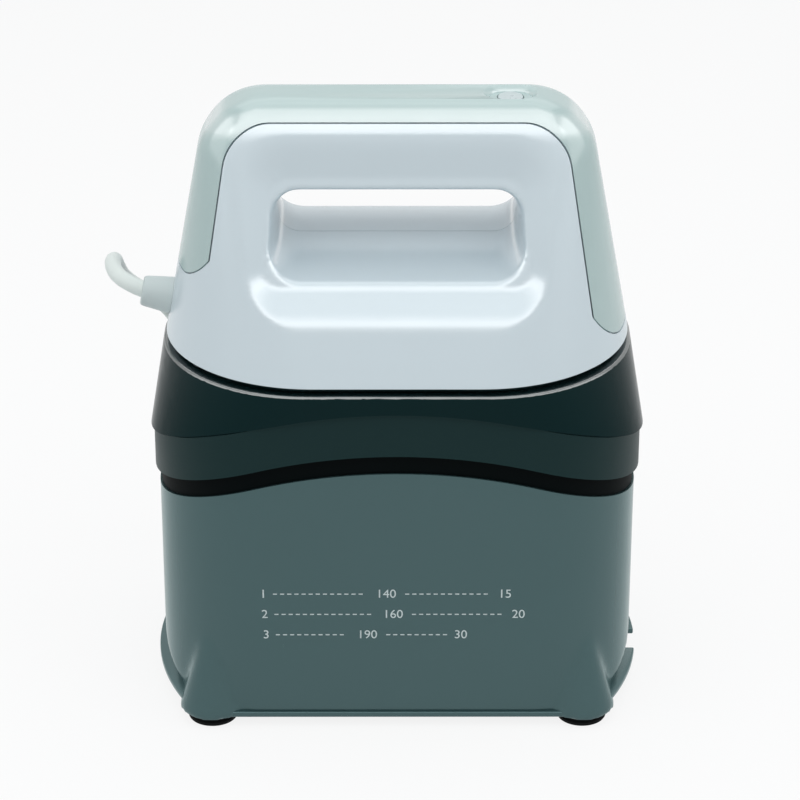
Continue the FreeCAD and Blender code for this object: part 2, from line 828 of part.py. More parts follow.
def handle_shells():
    core = handle_body(0, shell_bottom)
    for tool in opening_cut() + dish_cut():
        core = core.cut(tool)
    cavity = handle_body(shell_wall, shell_bottom - 1)
    for tool in opening_cut(shell_wall) + dish_cut(shell_wall) + shell_supports():
        cavity = cavity.cut(tool)
    shell = core.cut(cavity)
    under_strap = handle_body(strap_thickness + strap_under, shell_bottom - 1)
    shell = shell.cut(strap_region(strap_joint).cut(under_strap))
    low = shell_top - control_depth - strap_thickness - shell_wall
    shell = shell.cut(control_well(-strap_thickness - fit, low, shell_top + 1))
    shell = shell.cut(on_relief_axis(relief_base_radius + fit, -2 * relief_length, relief_length))
    for x, z, seat_y in screw_places():
        shell = shell.cut(along_y(x, z, screw_radius + screw_fit, -front_thread - 1, seat_y))
        shell = shell.cut(along_y(x, z, screw_head_radius + screw_fit, seat_y, shell_depth))
    shell = drilled(shell, four(deck_screw_x, deck_screw_y), screw_radius + screw_fit, deck_top,
                    deck_top + deck_boss - screw_end)
    half = box_between((-shell_width, -shell_depth, 0), (shell_width, 0, 2 * shell_top))
    return shell.common(half), shell.cut(half)


def shell_screws():
    made = []
    for x, z, seat_y in screw_places():
        made.append(turned(screw(seat_y + front_thread), Y_AXIS, (x, seat_y, z)))
    return Part.makeCompound(made)


def deck_screws():
    one = turned(screw(deck_screw_length), (0, 0, -1), (0, 0, deck_bottom))
    return Part.makeCompound([one.translated(V(x, y, 0)) for x, y in four(deck_screw_x, deck_screw_y)])


# ---------------------------------------------------------------- control and electronics
def flange_top():
    return shell_top - control_depth - strap_thickness - fit


def stem_end():
    return board_level() + switch_height + button_travel + button_fit


def power_button():
    top = shell_top - control_depth + button_proud
    cap = Part.makeCylinder(button_radius, top - flange_top(), V(button_x, 0, flange_top()))
    cap = cap.makeFillet(button_proud * 0.6, upper_edges(cap, top))
    flange = Part.makeCylinder(button_radius + button_fit + flange_edge / 3, flange_edge / 2,
                               V(button_x, 0, flange_top() - flange_edge / 2))
    stem = Part.makeCylinder(stem_radius, flange_top() - stem_end(), V(button_x, 0, stem_end()))
    return fuse([cap, flange, stem])


def switch_plunger():
    low = board_level() + switch_height - button_travel / 2
    return Part.makeCylinder(stem_radius, stem_end() - low, V(button_x, 0, low))


def tact_switch():
    half = switch_size / 2
    low = board_level()
    top = low + switch_height
    body = box_between((button_x - half, -half, low), (button_x + half, half, top))
    return drilled(body, [(button_x, 0)], stem_radius + button_fit, top - 2 * button_travel, top + 1)


def control_board():
    half_x, half_y = board_length / 2, board_width / 2
    top = board_level()
    low = top - board_thickness
    board = box_between((button_x - half_x, -half_y, low), (button_x + half_x, half_y, top))
    near = button_x + chip_x
    chip = box_between((near, -chip_width / 2, top), (near + chip_length, chip_width / 2, top + chip_height))
    return fuse([board, chip])


def power_board():
    low = deck_top + power_height
    half_x, half_y = power_length / 2, power_width / 2
    board = box_between((-half_x, -half_y, low), (half_x, half_y, low + board_thickness))
    legs = posts(four(half_x - power_leg_inset, half_y - power_leg_inset), boss_wall, deck_top, low)
    top = low + board_thickness
    near = relay_inset - half_x
    relay = box_between((near, -relay_size[1] / 2, top),
                        (near + relay_size[0], relay_size[1] / 2, top + relay_size[2]))
    place = V(half_x - capacitor_inset, -half_y / 2, top)
    capacitor = Part.makeCylinder(capacitor_radius, capacitor_height, place)
    far = half_x - terminal_inset
    terminal = box_between((far - terminal_size[0], 0, top), (far, terminal_size[1], top + terminal_size[2]))
    return fuse([board, relay, capacitor, terminal] + legs)


def tilt_switch():
    top = deck_top + power_height + board_thickness
    return Part.makeCylinder(tilt_radius, tilt_length, V(0, 0, top))


# ---------------------------------------------------------------- lead
def strain_relief():
    cone = on_relief_axis(relief_base_radius, 0, relief_length, relief_tip_radius)
    flange_front = -shell_wall - relief_gap
    flange_back = flange_front - relief_flange_thickness
    neck = on_relief_axis(relief_base_radius, flange_front, 0)
    flange = on_relief_axis(relief_flange, flange_back, flange_front)
    tail = on_relief_axis(relief_tail_radius(), flange_back - relief_tail, flange_back)
    bore = on_relief_axis(cord_diameter / 2 + cord_fit, -3 * relief_length, 3 * relief_length)
    return fuse([cone, neck, flange, tail]).cut(bore)


def relief_tail_radius():
    return (relief_tip_radius + cord_diameter / 2) / 2


def cord_clamp():
    middle = relief_place() - relief_axis() * (shell_wall + clamp_inset)
    half = clamp_length / 2
    radius = relief_tail_radius() + fit
    side = radius + clamp_wall
    body = box_between((middle.x - half, -side, deck_top), (middle.x + half, side, middle.z + side))
    across = [e for e in upper_edges(body, middle.z + side) if e.BoundBox.YLength < 0.01]
    body = body.makeFillet(clamp_wall, across)
    return body.cut(on_relief_axis(radius, -3 * relief_length, 0))


def exit_point():
    return relief_place() + relief_axis() * (relief_length / 2)


# route of the lead from the strain relief to the coil, chosen by hand
lead_route = [
    (-94.6, 0.0, 154.2), (-101.6, 3.6, 156.0), (-105.4, 10.6, 156.8), (-106.4, 22.4, 155.6),
    (-105.6, 40.0, 149.0), (-103.0, 56.5, 136.5), (-97.5, 69.5, 121.5), (-90.0, 79.5, 104.5),
    (-81.0, 86.0, 84.0), (-73.0, 89.0, 61.0), (-67.0, 90.5, 38.5), (-63.4, 93.0, 19.5),
    (-61.0, 100.5, 7.0), (-60.2, 113.0, 3.4),
]
# and from the coil to the plug
tail_route = [
    (-29.8, 153.8, 9.4), (-14.0, 158.6, 9.7), (4.0, 160.0, 9.2), (22.0, 157.8, 8.8), (39.0, 152.6, 8.7),
]


def tube(points, name):
    """Tube along straight runs joined by tangent arcs, each as large as its two runs allow."""
    corners = [V(*p) for p in points]
    edges = []
    here = corners[0]
    shortest = None
    for before, corner, after in zip(corners, corners[1:], corners[2:]):
        into = (before - corner).normalize()
        out = (after - corner).normalize()
        half_turn = (math.pi - into.getAngle(out)) / 2
        reach = bend_share * min(before.distanceToPoint(corner), corner.distanceToPoint(after))
        radius = reach / math.tan(half_turn)
        shortest = radius if shortest is None else min(shortest, radius)
        middle = corner + (into + out).normalize() * (radius / math.cos(half_turn) - radius)
        edges.append(Part.makeLine(here, corner + into * reach))
        edges.append(Part.Arc(corner + into * reach, middle, corner + out * reach).toShape())
        here = corner + out * reach
    edges.append(Part.makeLine(here, corners[-1]))
    path = Part.Wire(edges)
    start = corners[0]
    circle = Part.makeCircle(cord_diameter / 2, start, corners[1] - corners[0])
    solid = path.makePipeShell([Part.Wire(circle)], True, True)
    ideal = math.pi * (cord_diameter / 2) ** 2 * path.Length
    print(name, "length", round(path.Length, 1), "least radius", round(shortest, 1),
          "volume ratio", round(solid.Volume / ideal, 4))
    return solid


def power_cord():
    start = exit_point()
    return tube([(start.x, start.y, start.z)] + lead_route, "power_cord")


def cord_tail():
    return tube(tail_route, "cord_tail")


def cord_coil():
    outer = coil_outer_turn + cord_diameter / 2
    inner = coil_inner_turn - cord_diameter / 2
    height = cord_diameter * coil_layers
    place = V(coil_centre[0], coil_centre[1], coil_lift)
    return Part.makeCylinder(outer, height, place).cut(Part.makeCylinder(inner, height, place))


def plug_frame():
    end, before = V(*tail_route[-1]), V(*tail_route[-2])
    ahead = V(end.x - before.x, end.y - before.y, 0).normalize()
    return end, ahead


def laid_plug(shape):
    """Turns a form that points along +X into the line of the plug on the floor."""
    end, ahead = plug_frame()
    shape = shape.copy()
    shape.rotate(V(0, 0, 0), Z_AXIS, math.degrees(math.atan2(ahead.y, ahead.x)))
    shape.translate(end)
    return shape


def plug_body():
    low = -plug_thickness / 2
    half, neck = plug_width / 2, plug_neck / 2
    points = [V(0, -neck, low), V(plug_shoulder, -half, low), V(plug_length, -half, low),
              V(plug_length, half, low), V(plug_shoulder, half, low), V(0, neck, low)]
    body = Part.Face(Part.makePolygon(points + points[:1])).extrude(V(0, 0, plug_thickness))
    long_edges = [e for e in body.Edges if e.BoundBox.ZLength < 0.01 and e.BoundBox.XLength > 0.5]
    body = body.makeFillet(plug_round, long_edges)
    return laid_plug(body)


def plug_blades():
    blades = []
    for side in (-1, 1):
        y = side * blade_pitch / 2
        blade = box_between((plug_length, y - blade_thickness / 2, -blade_width / 2),
                            (plug_length + blade_length, y + blade_thickness / 2, blade_width / 2))
        middle = plug_length + 0.75 * blade_length
        hole = along_y(middle, 0, blade_width / 4, y - blade_width, y + blade_width)
        blades.append(laid_plug(blade.cut(hole)))
    return Part.makeCompound(blades)


# ---------------------------------------------------------------- writing
def export(name, shape):
    shape.exportStep("parts/" + name + ".step")
    print(name, "solids", len(shape.Solids), "valid", shape.isValid(), "volume", round(shape.Volume))


os.makedirs("parts", exist_ok=True)
export("base_shell", base_shell())
export("base_feet", base_feet())
export("base_floor", base_floor())
export("base_floor_screws", floor_screws())
export("base_liner", base_liner())
export("rest_pads", rest_pads())
export("heat_plate", heat_plate())
export("heating_element", heating_element())
export("insulation_mat", insulation_mat())
export("heat_shield", heat_shield())
export("plate_screws", plate_screws())
export("thermostat", thermostat())
export("thermal_fuse", thermal_fuse())
export("skirt", skirt())
export("collar", collar())
front_half, rear_half = handle_shells()
export("front_shell", front_half)
export("rear_shell", rear_half)
export("shell_screws", shell_screws())
export("deck_screws", deck_screws())
export("top_strap", top_strap())
export("power_button", power_button())
export("switch_plunger", switch_plunger())
export("tact_switch", tact_switch())
export("control_board", control_board())
export("power_board", power_board())
export("tilt_switch", tilt_switch())
export("strain_relief", strain_relief())
export("cord_clamp", cord_clamp())
export("power_cord", power_cord())
export("cord_coil", cord_coil())
export("cord_tail", cord_tail())
export("plug_body", plug_body())
export("plug_blades", plug_blades())
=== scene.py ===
import bpy
import bmesh
import contextlib
import json
import math
import numpy as np
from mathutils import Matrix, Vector


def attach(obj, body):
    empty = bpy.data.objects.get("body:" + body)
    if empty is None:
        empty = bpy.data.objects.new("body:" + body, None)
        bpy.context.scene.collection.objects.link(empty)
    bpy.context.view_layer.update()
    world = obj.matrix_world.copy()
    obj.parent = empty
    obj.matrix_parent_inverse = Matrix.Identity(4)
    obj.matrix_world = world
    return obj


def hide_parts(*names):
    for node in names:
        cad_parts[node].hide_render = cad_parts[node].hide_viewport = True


# Mini hand-held heat press, parked in its deep safety base. Blender works in metres; sizes that
# are written here in millimetres go through MM.

MM = 0.001
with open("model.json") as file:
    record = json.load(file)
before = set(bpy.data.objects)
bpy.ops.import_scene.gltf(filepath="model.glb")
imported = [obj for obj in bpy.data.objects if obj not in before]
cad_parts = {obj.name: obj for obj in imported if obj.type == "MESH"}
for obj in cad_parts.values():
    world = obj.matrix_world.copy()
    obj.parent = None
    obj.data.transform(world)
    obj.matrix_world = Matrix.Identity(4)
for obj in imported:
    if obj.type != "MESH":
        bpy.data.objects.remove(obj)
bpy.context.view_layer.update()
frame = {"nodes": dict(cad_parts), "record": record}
scene = bpy.context.scene
FINE = 0.9          # cell of the moulded skins, mm

# ---------------------------------------------------------------- sizes, mm
# base
seam_radius = 211.0
base_width, base_depth, base_corner = 175.0, 105.2, 36.0
base_lift, base_top, side_round, base_wall = 4.2, 105.5, 20.0, 2.0
boss_x, boss_y, boss_radius, boss_height, boss_tip = 68.7, 44.2, 12.6, 32.0, 3.0
foot_height = 4.0
foot_profile = [(0.05, 0.0), (8.4, 0.0), (8.9, 0.2), (9.2, 0.7), (9.2, 1.6), (8.95, 1.8), (8.65, 2.2),
                (8.95, 2.6), (9.2, 2.8), (9.2, 4.3), (0.05, 4.3)]
lip_half, lip_notch, lip_root = 47.0, (-11.0, 2.5), 66.0
lip_reach, lip_bow, lip_low, lip_high = 91.0, 101.0, 7.0, 9.2
bead_half, bead_proud, bead_root, bead_height = 62.0, 0.9, 1.5, 2.2
edge_break = 0.5

# handle
shell_bottom, shell_top = 140.6, 231.3
shell_width, shell_depth = 168.8, 110.6
side_lean, face_lean = 0.186, 0.4696
face_slant = math.sqrt(1 + face_lean ** 2)
crown_radius = 26.0
rim_radius, brow_radius, brow_angle = 10.0, 45.0, math.radians(40)     # upper edge, and what leads into it
end_round_low, end_round_high, end_round_top, rim_height = 54.5, 14.0, 5.0, 12.6
shell_wall, parting_half = 2.4, 0.12

# finger opening, and how it widens with the depth, down, up and in its corners
opening_width, opening_low, opening_high = 86.0, 177.4, 198.0
flare_depths = (0.0, 20.0, 34.0, 50.0)
flare_rows = ((0, 0.8, 3.2, 9.0), (0, 1.6, 4.6, 11.0), (0, 4.0, 13.0, 30.0), (8.0, 9.0, 12.0, 18.0))

# dish round the opening; its slope starts a share of its width outside the edge
dish_low, dish_high, dish_half_low, dish_half_high = 161.3, 219.6, 59.0, 54.0
dish_corner, dish_depth, dish_slope, dish_brow = 17.0, 4.4, 10.5, 15.0
dish_soft, dish_rise = 0.3, 1.4
dish_shares = (-1.2, -0.8, -0.5, -0.36, -0.26, -0.17, -0.08, 0.0, 0.08, 0.17, 0.26, 0.4, 0.6, 0.8, 0.9, 1.0)

# strap; level, corner and share of the depth of its two ends
strap_thickness, strap_side, strap_taper, strap_drop = 1.4, 9.2, 0.156, 6.1
strap_corner, strap_joint, strap_bed = 17.0, 0.5, 0.1
strap_ends = {1: (146.1, 15.5, 0.607), -1: (169.2, 12.5, 0.675)}

# control: half length and half width of its ovals, and heights
button_x, button_hole, button_hole_low, button_hole_high = 40.3, 4.85, 224.0, 236.0
bowl_half, bowl_depth, bowl_spread, bowl_shrink, bowl_rim, bowl_over = (9.5, 7.0), 2.2, 2.9, 2.2, 1.1, 1.5
tub_half, tub_floor, tub_brim = (10.9, 8.4), 3.6, 0.7
well_half, well_floor, well_top = (11.4, 8.9), 222.0, 240.0
way_half, way_low, way_high = (7.2, 6.4), 216.0, 223.5

# screws of the rear shell: place and depth of the seat
upper_screw_x, upper_screw_z, upper_seat = 20.0, 209.0, 3.0
lower_screw_x, lower_screw_z, lower_seat = 58.0, 151.0, 14.0
screw_hole = 3.1

# strain relief, as (distance, radius) pairs, and its hole
relief_height, relief_length = 151.9, 11.0
relief_hole = [(-16.0, 7.0), (12.0, 7.0)]
relief_profile = [(-16.0, 3.05), (-16.0, 4.25), (-6.2, 4.25), (-6.2, 8.0), (-4.2, 8.0), (-4.2, 6.8), (0.0, 6.8),
                  (0.35, 6.75), (5.0, 6.2), (9.6, 5.62), (10.6, 5.3), (11.0, 4.7), (11.0, 3.4), (10.2, 3.05)]

# how far cutting tools run past the handle
past_x, past_y, past_z, past_rear, past_bottom = 110.0, 90.0, 400.0, 70.0, 30.0


# ---------------------------------------------------------------- meshes
def placed(name, data):
    """New object of the scene with this data."""
    obj = bpy.data.objects.new(name, data)
    scene.collection.objects.link(obj)
    return obj


@contextlib.contextmanager
def edited(obj):
    """Opens the mesh of an object for changes."""
    bm = bmesh.new()
    bm.from_mesh(obj.data)
    yield bm
    bm.to_mesh(obj.data)
    bm.free()


def made(name, points, faces):
    """Mesh object from points in millimetres, with its faces turned outwards."""
    mesh = bpy.data.meshes.new(name)
    mesh.from_pydata([tuple(p) for p in np.asarray(points, float) * MM], [], faces)
    obj = placed(name, mesh)
    with edited(obj) as bm:
        bmesh.ops.recalc_face_normals(bm, faces=bm.faces)
    return obj


def skin(name, rings):
    """Closed skin over rings of as many points each."""
    rings = np.asarray(rings, float)
    rows, count = rings.shape[:2]
    faces = [(r * count + c, r * count + (c + 1) % count, (r + 1) * count + (c + 1) % count, (r + 1) * count + c)
             for r in range(rows - 1) for c in range(count)]
    faces += [tuple(range(count)), tuple(range((rows - 1) * count, rows * count))]
    return made(name, rings.reshape(-1, 3), faces)


def final_mesh(obj):
    """Mesh of an object as its modifiers or its text leave it."""
    graph = bpy.context.evaluated_depsgraph_get()
    return bpy.data.meshes.new_from_object(obj.evaluated_get(graph))


def plain(obj):
    """Applies the modifiers of an object, so that it is a mesh and nothing else."""
    mesh = final_mesh(obj)
    obj.modifiers.clear()
    obj.data = mesh
    return obj


def worked(obj, kind, **settings):
    """Runs one modifier over an object."""
    modifier = obj.modifiers.new(kind.lower(), kind)
    for key, value in settings.items():
        setattr(modifier, key, value)
    return plain(obj)


def combine(obj, tool, operation):
    """Boolean of an object with a tool, which is used up."""
    worked(obj, "BOOLEAN", object=tool, operation=operation, solver="MANIFOLD")
    bpy.data.objects.remove(tool)
    return obj


def sliced(obj, point, normal):
    """Takes away what lies on the side of the plane that its normal points to."""
    with edited(obj) as bm:
        bmesh.ops.bisect_plane(bm, geom=bm.verts[:] + bm.edges[:] + bm.faces[:], dist=1e-7,
                               plane_co=Vector(point) * MM, plane_no=normal, clear_outer=True)
    return obj


def cleaned(obj):
    """Takes the slivers out that cutting leaves behind."""
    with edited(obj) as bm:
        bmesh.ops.remove_doubles(bm, verts=bm.verts, dist=1e-5)
        bmesh.ops.dissolve_degenerate(bm, edges=bm.edges, dist=1e-5)
        bmesh.ops.dissolve_limit(bm, angle_limit=math.radians(0.3), verts=bm.verts, edges=bm.edges)
    return obj


def softened(obj, segments):
    """Breaks the sharp edges of an object."""
    return worked(obj, "BEVEL", width=edge_break * MM, segments=segments, limit_method="ANGLE",
                  angle_limit=math.radians(40))


def copied(obj, name):
    twin = obj.copy()
    twin.data = obj.data.copy()
    twin.name = name
    scene.collection.objects.link(twin)
    return twin


def joined(name, objects):
    """One object from the meshes of several, which are used up."""
    bm = bmesh.new()
    for obj in objects:
        bm.from_mesh(obj.data)
    mesh = bpy.data.meshes.new(name)
    bm.to_mesh(mesh)
    bm.free()
    for obj in objects:
        bpy.data.objects.remove(obj)
    return placed(name, mesh)


def smoothed(obj, angle=32.0, weighted=True):
    """Smooth shading, with edges that stay sharp from an angle on."""
    obj.data.shade_smooth()
    obj.data.set_sharp_from_angle(angle=math.radians(angle))
    if weighted:
        worked(obj, "WEIGHTED_NORMAL", keep_sharp=True)
    return obj


def from_node(node, name, angle=32.0):
    """Merged and smoothly shaded copy of a node of the frame."""
    obj = placed(name, frame["nodes"][node].data.copy())
    obj.data.materials.clear()
    with edited(obj) as bm:
        bmesh.ops.remove_doubles(bm, verts=bm.verts, dist=2e-6)
    for extra in ("custom_normal", "sharp_face", "sharp_edge"):
        layer = obj.data.attributes.get(extra)
        if layer:
            obj.data.attributes.remove(layer)
    return smoothed(obj, angle)


# ---------------------------------------------------------------- outlines
def circle(count):
    """Points of the unit circle, counter-clockwise."""
    angles = np.linspace(0, 2 * math.pi, count, endpoint=False)
    return np.column_stack([np.cos(angles), np.sin(angles)])


def plan(half_x, half_y, corner, sides=(24, 10), arc=18):
    """Rounded rectangle, counter-clockwise, always with as many points."""
    r = max(min(corner, half_x - 0.2, half_y - 0.2), 0.05)
    corners = [np.array([sx * (half_x - r), sy * (half_y - r)]) for sx, sy in ((1, 1), (-1, 1), (-1, -1), (1, -1))]
    points = []
    for turn in range(4):
        centre, after = corners[turn], corners[(turn + 1) % 4]
        angles = np.radians(90 * turn + np.linspace(0, 90, arc + 1))
        points += [centre + r * np.array([math.cos(a), math.sin(a)]) for a in angles]
        start = np.radians(90 * (turn + 1))
        first, last = points[-1], after + r * np.array([math.cos(start), math.sin(start)])
        steps = sides[turn % 2]
        points += [first + (last - first) * k / steps for k in range(1, steps)]
    return np.array(points)


def at_level(outline, z):
    return np.column_stack([outline, np.full(len(outline), float(z))])


def rounded(points, radius, arc=14):
    """Polygon with every corner an arc."""
    out = []
    count = len(points)
    for k in range(count):
        before, here, after = (np.array(points[j % count], float) for j in (k - 1, k, k + 1))
        into = (before - here) / np.linalg.norm(before - here)
        away = (after - here) / np.linalg.norm(after - here)
        half = math.acos(float(np.clip(into @ away, -1, 1))) / 2
        reach = radius / math.tan(half)
        bisector = (into + away) / np.linalg.norm(into + away)
        centre = here + bisector * radius / math.sin(half)
        a, b = here + into * reach - centre, here + away * reach - centre
        turn = math.atan2(a[0] * b[1] - a[1] * b[0], a @ b)
        for t in np.linspace(0, turn, arc + 1):
            out.append(centre + np.array([a[0] * math.cos(t) - a[1] * math.sin(t),
                                          a[0] * math.sin(t) + a[1] * math.cos(t)]))
    return np.array(out)


def prism(name, outline, axis, low, high):
    """Prism of an outline along X (outline in y, z), Y (x, z) or Z (x, y)."""
    return skin(name, [np.insert(outline, axis, level, axis=1) for level in (low, high)])


def rod(name, x, z, radius, low, high):
    """Round rod along Y."""
    return prism(name, np.array([x, z]) + radius * circle(48), 1, low, high)


def lathe(name, profile):
    """Round form about Z from (radius, height) pairs."""
    return skin(name, [at_level(circle(64) * radius, z) for radius, z in profile])


def sag(x):
    """How far the wavy seam has dropped at this distance from the middle."""
    return seam_radius - np.sqrt(np.maximum(seam_radius ** 2 - np.asarray(x, float) ** 2, 0))


# ---------------------------------------------------------------- handle
def half_x(z, inset):
    """Half width of the handle at a level: leaning ends under a round crown."""
    slant = math.sqrt(1 + side_lean ** 2)
    centre_z = shell_top - crown_radius
    centre_x = shell_width / 2 - side_lean * (centre_z - shell_bottom) - crown_radius * slant
    radius = crown_radius - inset
    if z > centre_z + radius * side_lean / slant:
        return centre_x + math.sqrt(max(radius ** 2 - (z - centre_z) ** 2, 0))
    return shell_width / 2 - side_lean * (z - shell_bottom) - inset * slant


def half_y(z, inset):
    """Half depth of the handle at a level: leaning faces, a soft brow and a rounder upper edge."""
    lean = math.atan(face_lean)
    low_z = shell_top - rim_radius - (brow_radius - rim_radius) * math.sin(brow_angle)
    joint_z = low_z + brow_radius * math.sin(lean)
    low_y = shell_depth / 2 - face_lean * (joint_z - shell_bottom) - brow_radius * math.cos(lean)
    high_y = low_y + (brow_radius - rim_radius) * math.cos(brow_angle)
    high, low = rim_radius - inset, brow_radius - inset
    above = z - shell_top + rim_radius
    if above > high * math.sin(brow_angle):
        return high_y + math.sqrt(max(high ** 2 - above ** 2, 0))
    if z > low_z + low * math.sin(lean):
        return low_y + math.sqrt(low ** 2 - (z - low_z) ** 2)
    return shell_depth / 2 - face_lean * (z - shell_bottom) - inset * face_slant


def end_round(z, inset):
    """Radius of the handle's upright corners at a level."""
    rim = shell_top - rim_height
    if z < rim:
        t = (z - shell_bottom) / (rim - shell_bottom)
        return end_round_low + (end_round_high - end_round_low) * t - inset
    t = (z - rim) / (shell_top - rim)
    return max(end_round_high + (end_round_top - end_round_high) * t - inset, 0.3)


def handle_form(name, inset, low):
    """Solid form of the handle, down to a level and smaller by an inset all round."""
    crown, rim, top = shell_top - crown_radius, shell_top - rim_radius, shell_top - inset
    levels = list(np.linspace(low, crown, 26)[:-1]) + list(np.linspace(crown, rim, 16)[:-1])
    levels += [rim + (top - rim) * math.sin(math.radians(a)) for a in np.linspace(0, 90, 16)]
    return skin(name, [at_level(plan(half_x(z, inset), half_y(z, inset), end_round(z, inset), (60, 14), 24), z)
                       for z in levels])


def opening_tool():
    """Finger opening, flared to front and rear."""
    laws = [np.polyfit(flare_depths, row, 3) for row in flare_rows]
    rings = []
    for y in np.linspace(-58, 58, 59):
        side, floor, roof, corner = (np.polyval(law, abs(y)) for law in laws)
        low, high = opening_low - floor, opening_high + roof
        ring = plan(opening_width / 2 + side, (high - low) / 2, corner, (44, 14), 14)
        ring[:, 1] += (low + high) / 2
        rings.append(np.insert(ring, 1, y, axis=1))
    return skin("opening", rings)


def dish_tool(face):
    """Shallow bowl round the opening, with a soft edge, on the front face (-1) or the rear one (1)."""
    lean = math.atan(face_lean)
    front = shell_depth / 2 - face_lean * (dish_low - shell_bottom)
    height = (dish_high - dish_low) * face_slant
    rings = []
    for share in dish_shares:
        if abs(share) < dish_soft:
            depth = dish_depth * (share + dish_soft) ** 2 / 4 / dish_soft
        elif share > 0:
            depth = dish_depth * share
        else:
            depth = dish_rise * dish_depth * (share + dish_soft)
        spread, rise = -share * dish_slope, share * dish_brow
        low, high = dish_low - spread, dish_low + height - rise
        wide, narrow = dish_half_low + spread, dish_half_high + spread
        outline = rounded([(-wide, low), (wide, low), (narrow, high), (-narrow, high)], dish_corner + spread, 20)
        up = outline[:, 1] - dish_low
        y = front - depth * face_slant - up * math.sin(lean)
        rings.append(np.column_stack([outline[:, 0], face * y, dish_low + up * math.cos(lean)]))
    return skin("dish", rings[::-1])


def strap_region(name, grow):
    """Where the strap lies: outside a window in the front view, above a round end on each side."""
    top, low = shell_top - strap_drop - grow, shell_bottom - 25
    edge = shell_width / 2 - side_lean * (top - shell_bottom) - strap_side - grow
    foot = edge + strap_taper * (top - low)
    sides = []
    for side, (level, corner, share) in strap_ends.items():
        half = share * half_y(level, 0) + grow
        outline = rounded([(-half, level - grow), (half, level - grow), (half, past_z), (-half, past_z)],
                          corner + grow, 24)
        sides.append(prism(name + "_side", outline, 0, *sorted((-1.0 * side, side * past_x))))
    region = combine(sides[0], sides[1], "UNION")
    window = rounded([(-foot, low), (foot, low), (edge, top), (-edge, top)], strap_corner, 28)
    combine(region, prism("window", window, 1, -past_y, past_y), "DIFFERENCE")
    region.name = name
    return region


def oval(half, z, wider=0.0):
    """Oval round the control's axis, from its half length and half width."""
    length, width = half[0] + wider, half[1] + wider
    return at_level(plan(length, width, width, (16, 4), 16), z) + np.array([button_x, 0, 0])


def oval_block(name, half, low, high):
    return skin(name, [oval(half, low), oval(half, high)])


def tub():
    """Closed tub under the strap, in which the bowl is sunk."""
    return oval_block("tub", tub_half, shell_top - tub_floor, shell_top - tub_brim)


def button_dish():
    """Bowl of the control, with a soft upper edge."""
    rings = [oval(bowl_half, shell_top - bowl_depth + bowl_depth * t, bowl_spread * t ** 1.5 - bowl_shrink)
             for t in np.linspace(0, 1, 9)]
    return skin("bowl", rings + [oval(bowl_half, shell_top + bowl_over, bowl_rim)])


def relief_frame():
    """Foot of the strain relief on the left end, and the direction in which it stands off."""
    slant = math.sqrt(1 + side_lean ** 2)
    axis = np.array([-1 / slant, 0, side_lean / slant])
    place = np.array([-(shell_width / 2 - side_lean * (relief_height - shell_bottom)), 0, relief_height])
    return place, axis


def turned_form(name, profile):
    """Round form on the axis of the strain relief, from (distance, radius) pairs."""
    place, axis = relief_frame()
    side = np.array([0.0, 1.0, 0.0])
    up = np.cross(axis, side)
    return skin(name, [[place + axis * along + radius * (side * c + up * s) for c, s in circle(64)]
                       for along, radius in profile])


def edge_depth(x, z):
    """Half depth of the handle at a place on its rounded end."""
    radius = end_round(z, 0)
    over = max(x - (half_x(z, 0) - radius), 0)
    return half_y(z, 0) - radius + math.sqrt(radius ** 2 - over ** 2)


def screw_places():
    """Place and seat of each screw in the rear shell."""
    upper = half_y(upper_screw_z, 0) - dish_depth * face_slant - upper_seat
    lower = edge_depth(lower_screw_x, lower_screw_z) - lower_seat
    rows = ((upper_screw_x, upper_screw_z, upper), (lower_screw_x, lower_screw_z, lower))
    return [(side * x, z, seat) for x, z, seat in rows for side in (-1, 1)]


def shell_pieces(form):
    """Front and rear shell, as closed walls with soft moulded edges."""
    core = copied(form, "core")
    for tool in (opening_tool(), dish_tool(-1), dish_tool(1)):
        combine(core, tool, "DIFFERENCE")
    worked(core, "REMESH", mode="VOXEL", voxel_size=FINE * MM)
    worked(core, "SMOOTH", factor=0.5, iterations=9)
    recess = strap_region("recess", strap_joint)
    combine(recess, handle_form("under", strap_thickness + strap_bed, shell_bottom - past_bottom), "DIFFERENCE")
    tools = [recess, oval_block("well", well_half, well_floor, well_top), turned_form("hole", relief_hole)]
    tools += [rod("recess", x, z, screw_hole, seat, past_rear) for x, z, seat in screw_places()]
    for tool in tools:
        combine(core, tool, "DIFFERENCE")
    sliced(core, (0, 0, shell_bottom), (0, 0, -1))
    shells = []
    for name, face in (("front_shell_skin", -1), ("rear_shell_skin", 1)):
        half = sliced(copied(core, name), (0, face * parting_half, 0), (0, -face, 0))
        worked(half, "SOLIDIFY", thickness=shell_wall * MM, offset=-1.0)
        combine(half, oval_block("way", way_half, way_low, way_high), "DIFFERENCE")
        shells.append(smoothed(half, 40.0, weighted=False))
    bpy.data.objects.remove(core)
    return shells


def strap_piece(form):
    """Thin strap over the handle, with the bowl of the control and the button's hole."""
    form.name = "strap_skin"
    combine(form, strap_region("region", 0.0), "INTERSECT")
    combine(form, tub(), "UNION")
    combine(form, handle_form("inside", strap_thickness, shell_bottom - past_bottom), "DIFFERENCE")
    combine(form, tub(), "UNION")
    combine(form, button_dish(), "DIFFERENCE")
    ring = circle(48) * button_hole + [button_x, 0]
    combine(form, skin("hole", [at_level(ring, z) for z in (button_hole_low, button_hole_high)]), "DIFFERENCE")
    return smoothed(cleaned(form), 38.0, weighted=False)


# ---------------------------------------------------------------- base
def drop_to_seam(obj, sign):
    """Bends a mesh along the wavy seam, down (1) or back up (-1)."""
    points = np.zeros(len(obj.data.vertices) * 3)
    obj.data.vertices.foreach_get("co", points)
    points = points.reshape(-1, 3)
    points[:, 2] -= sign * sag(points[:, 0] / MM) * MM
    obj.data.vertices.foreach_set("co", points.ravel())
    obj.data.update()


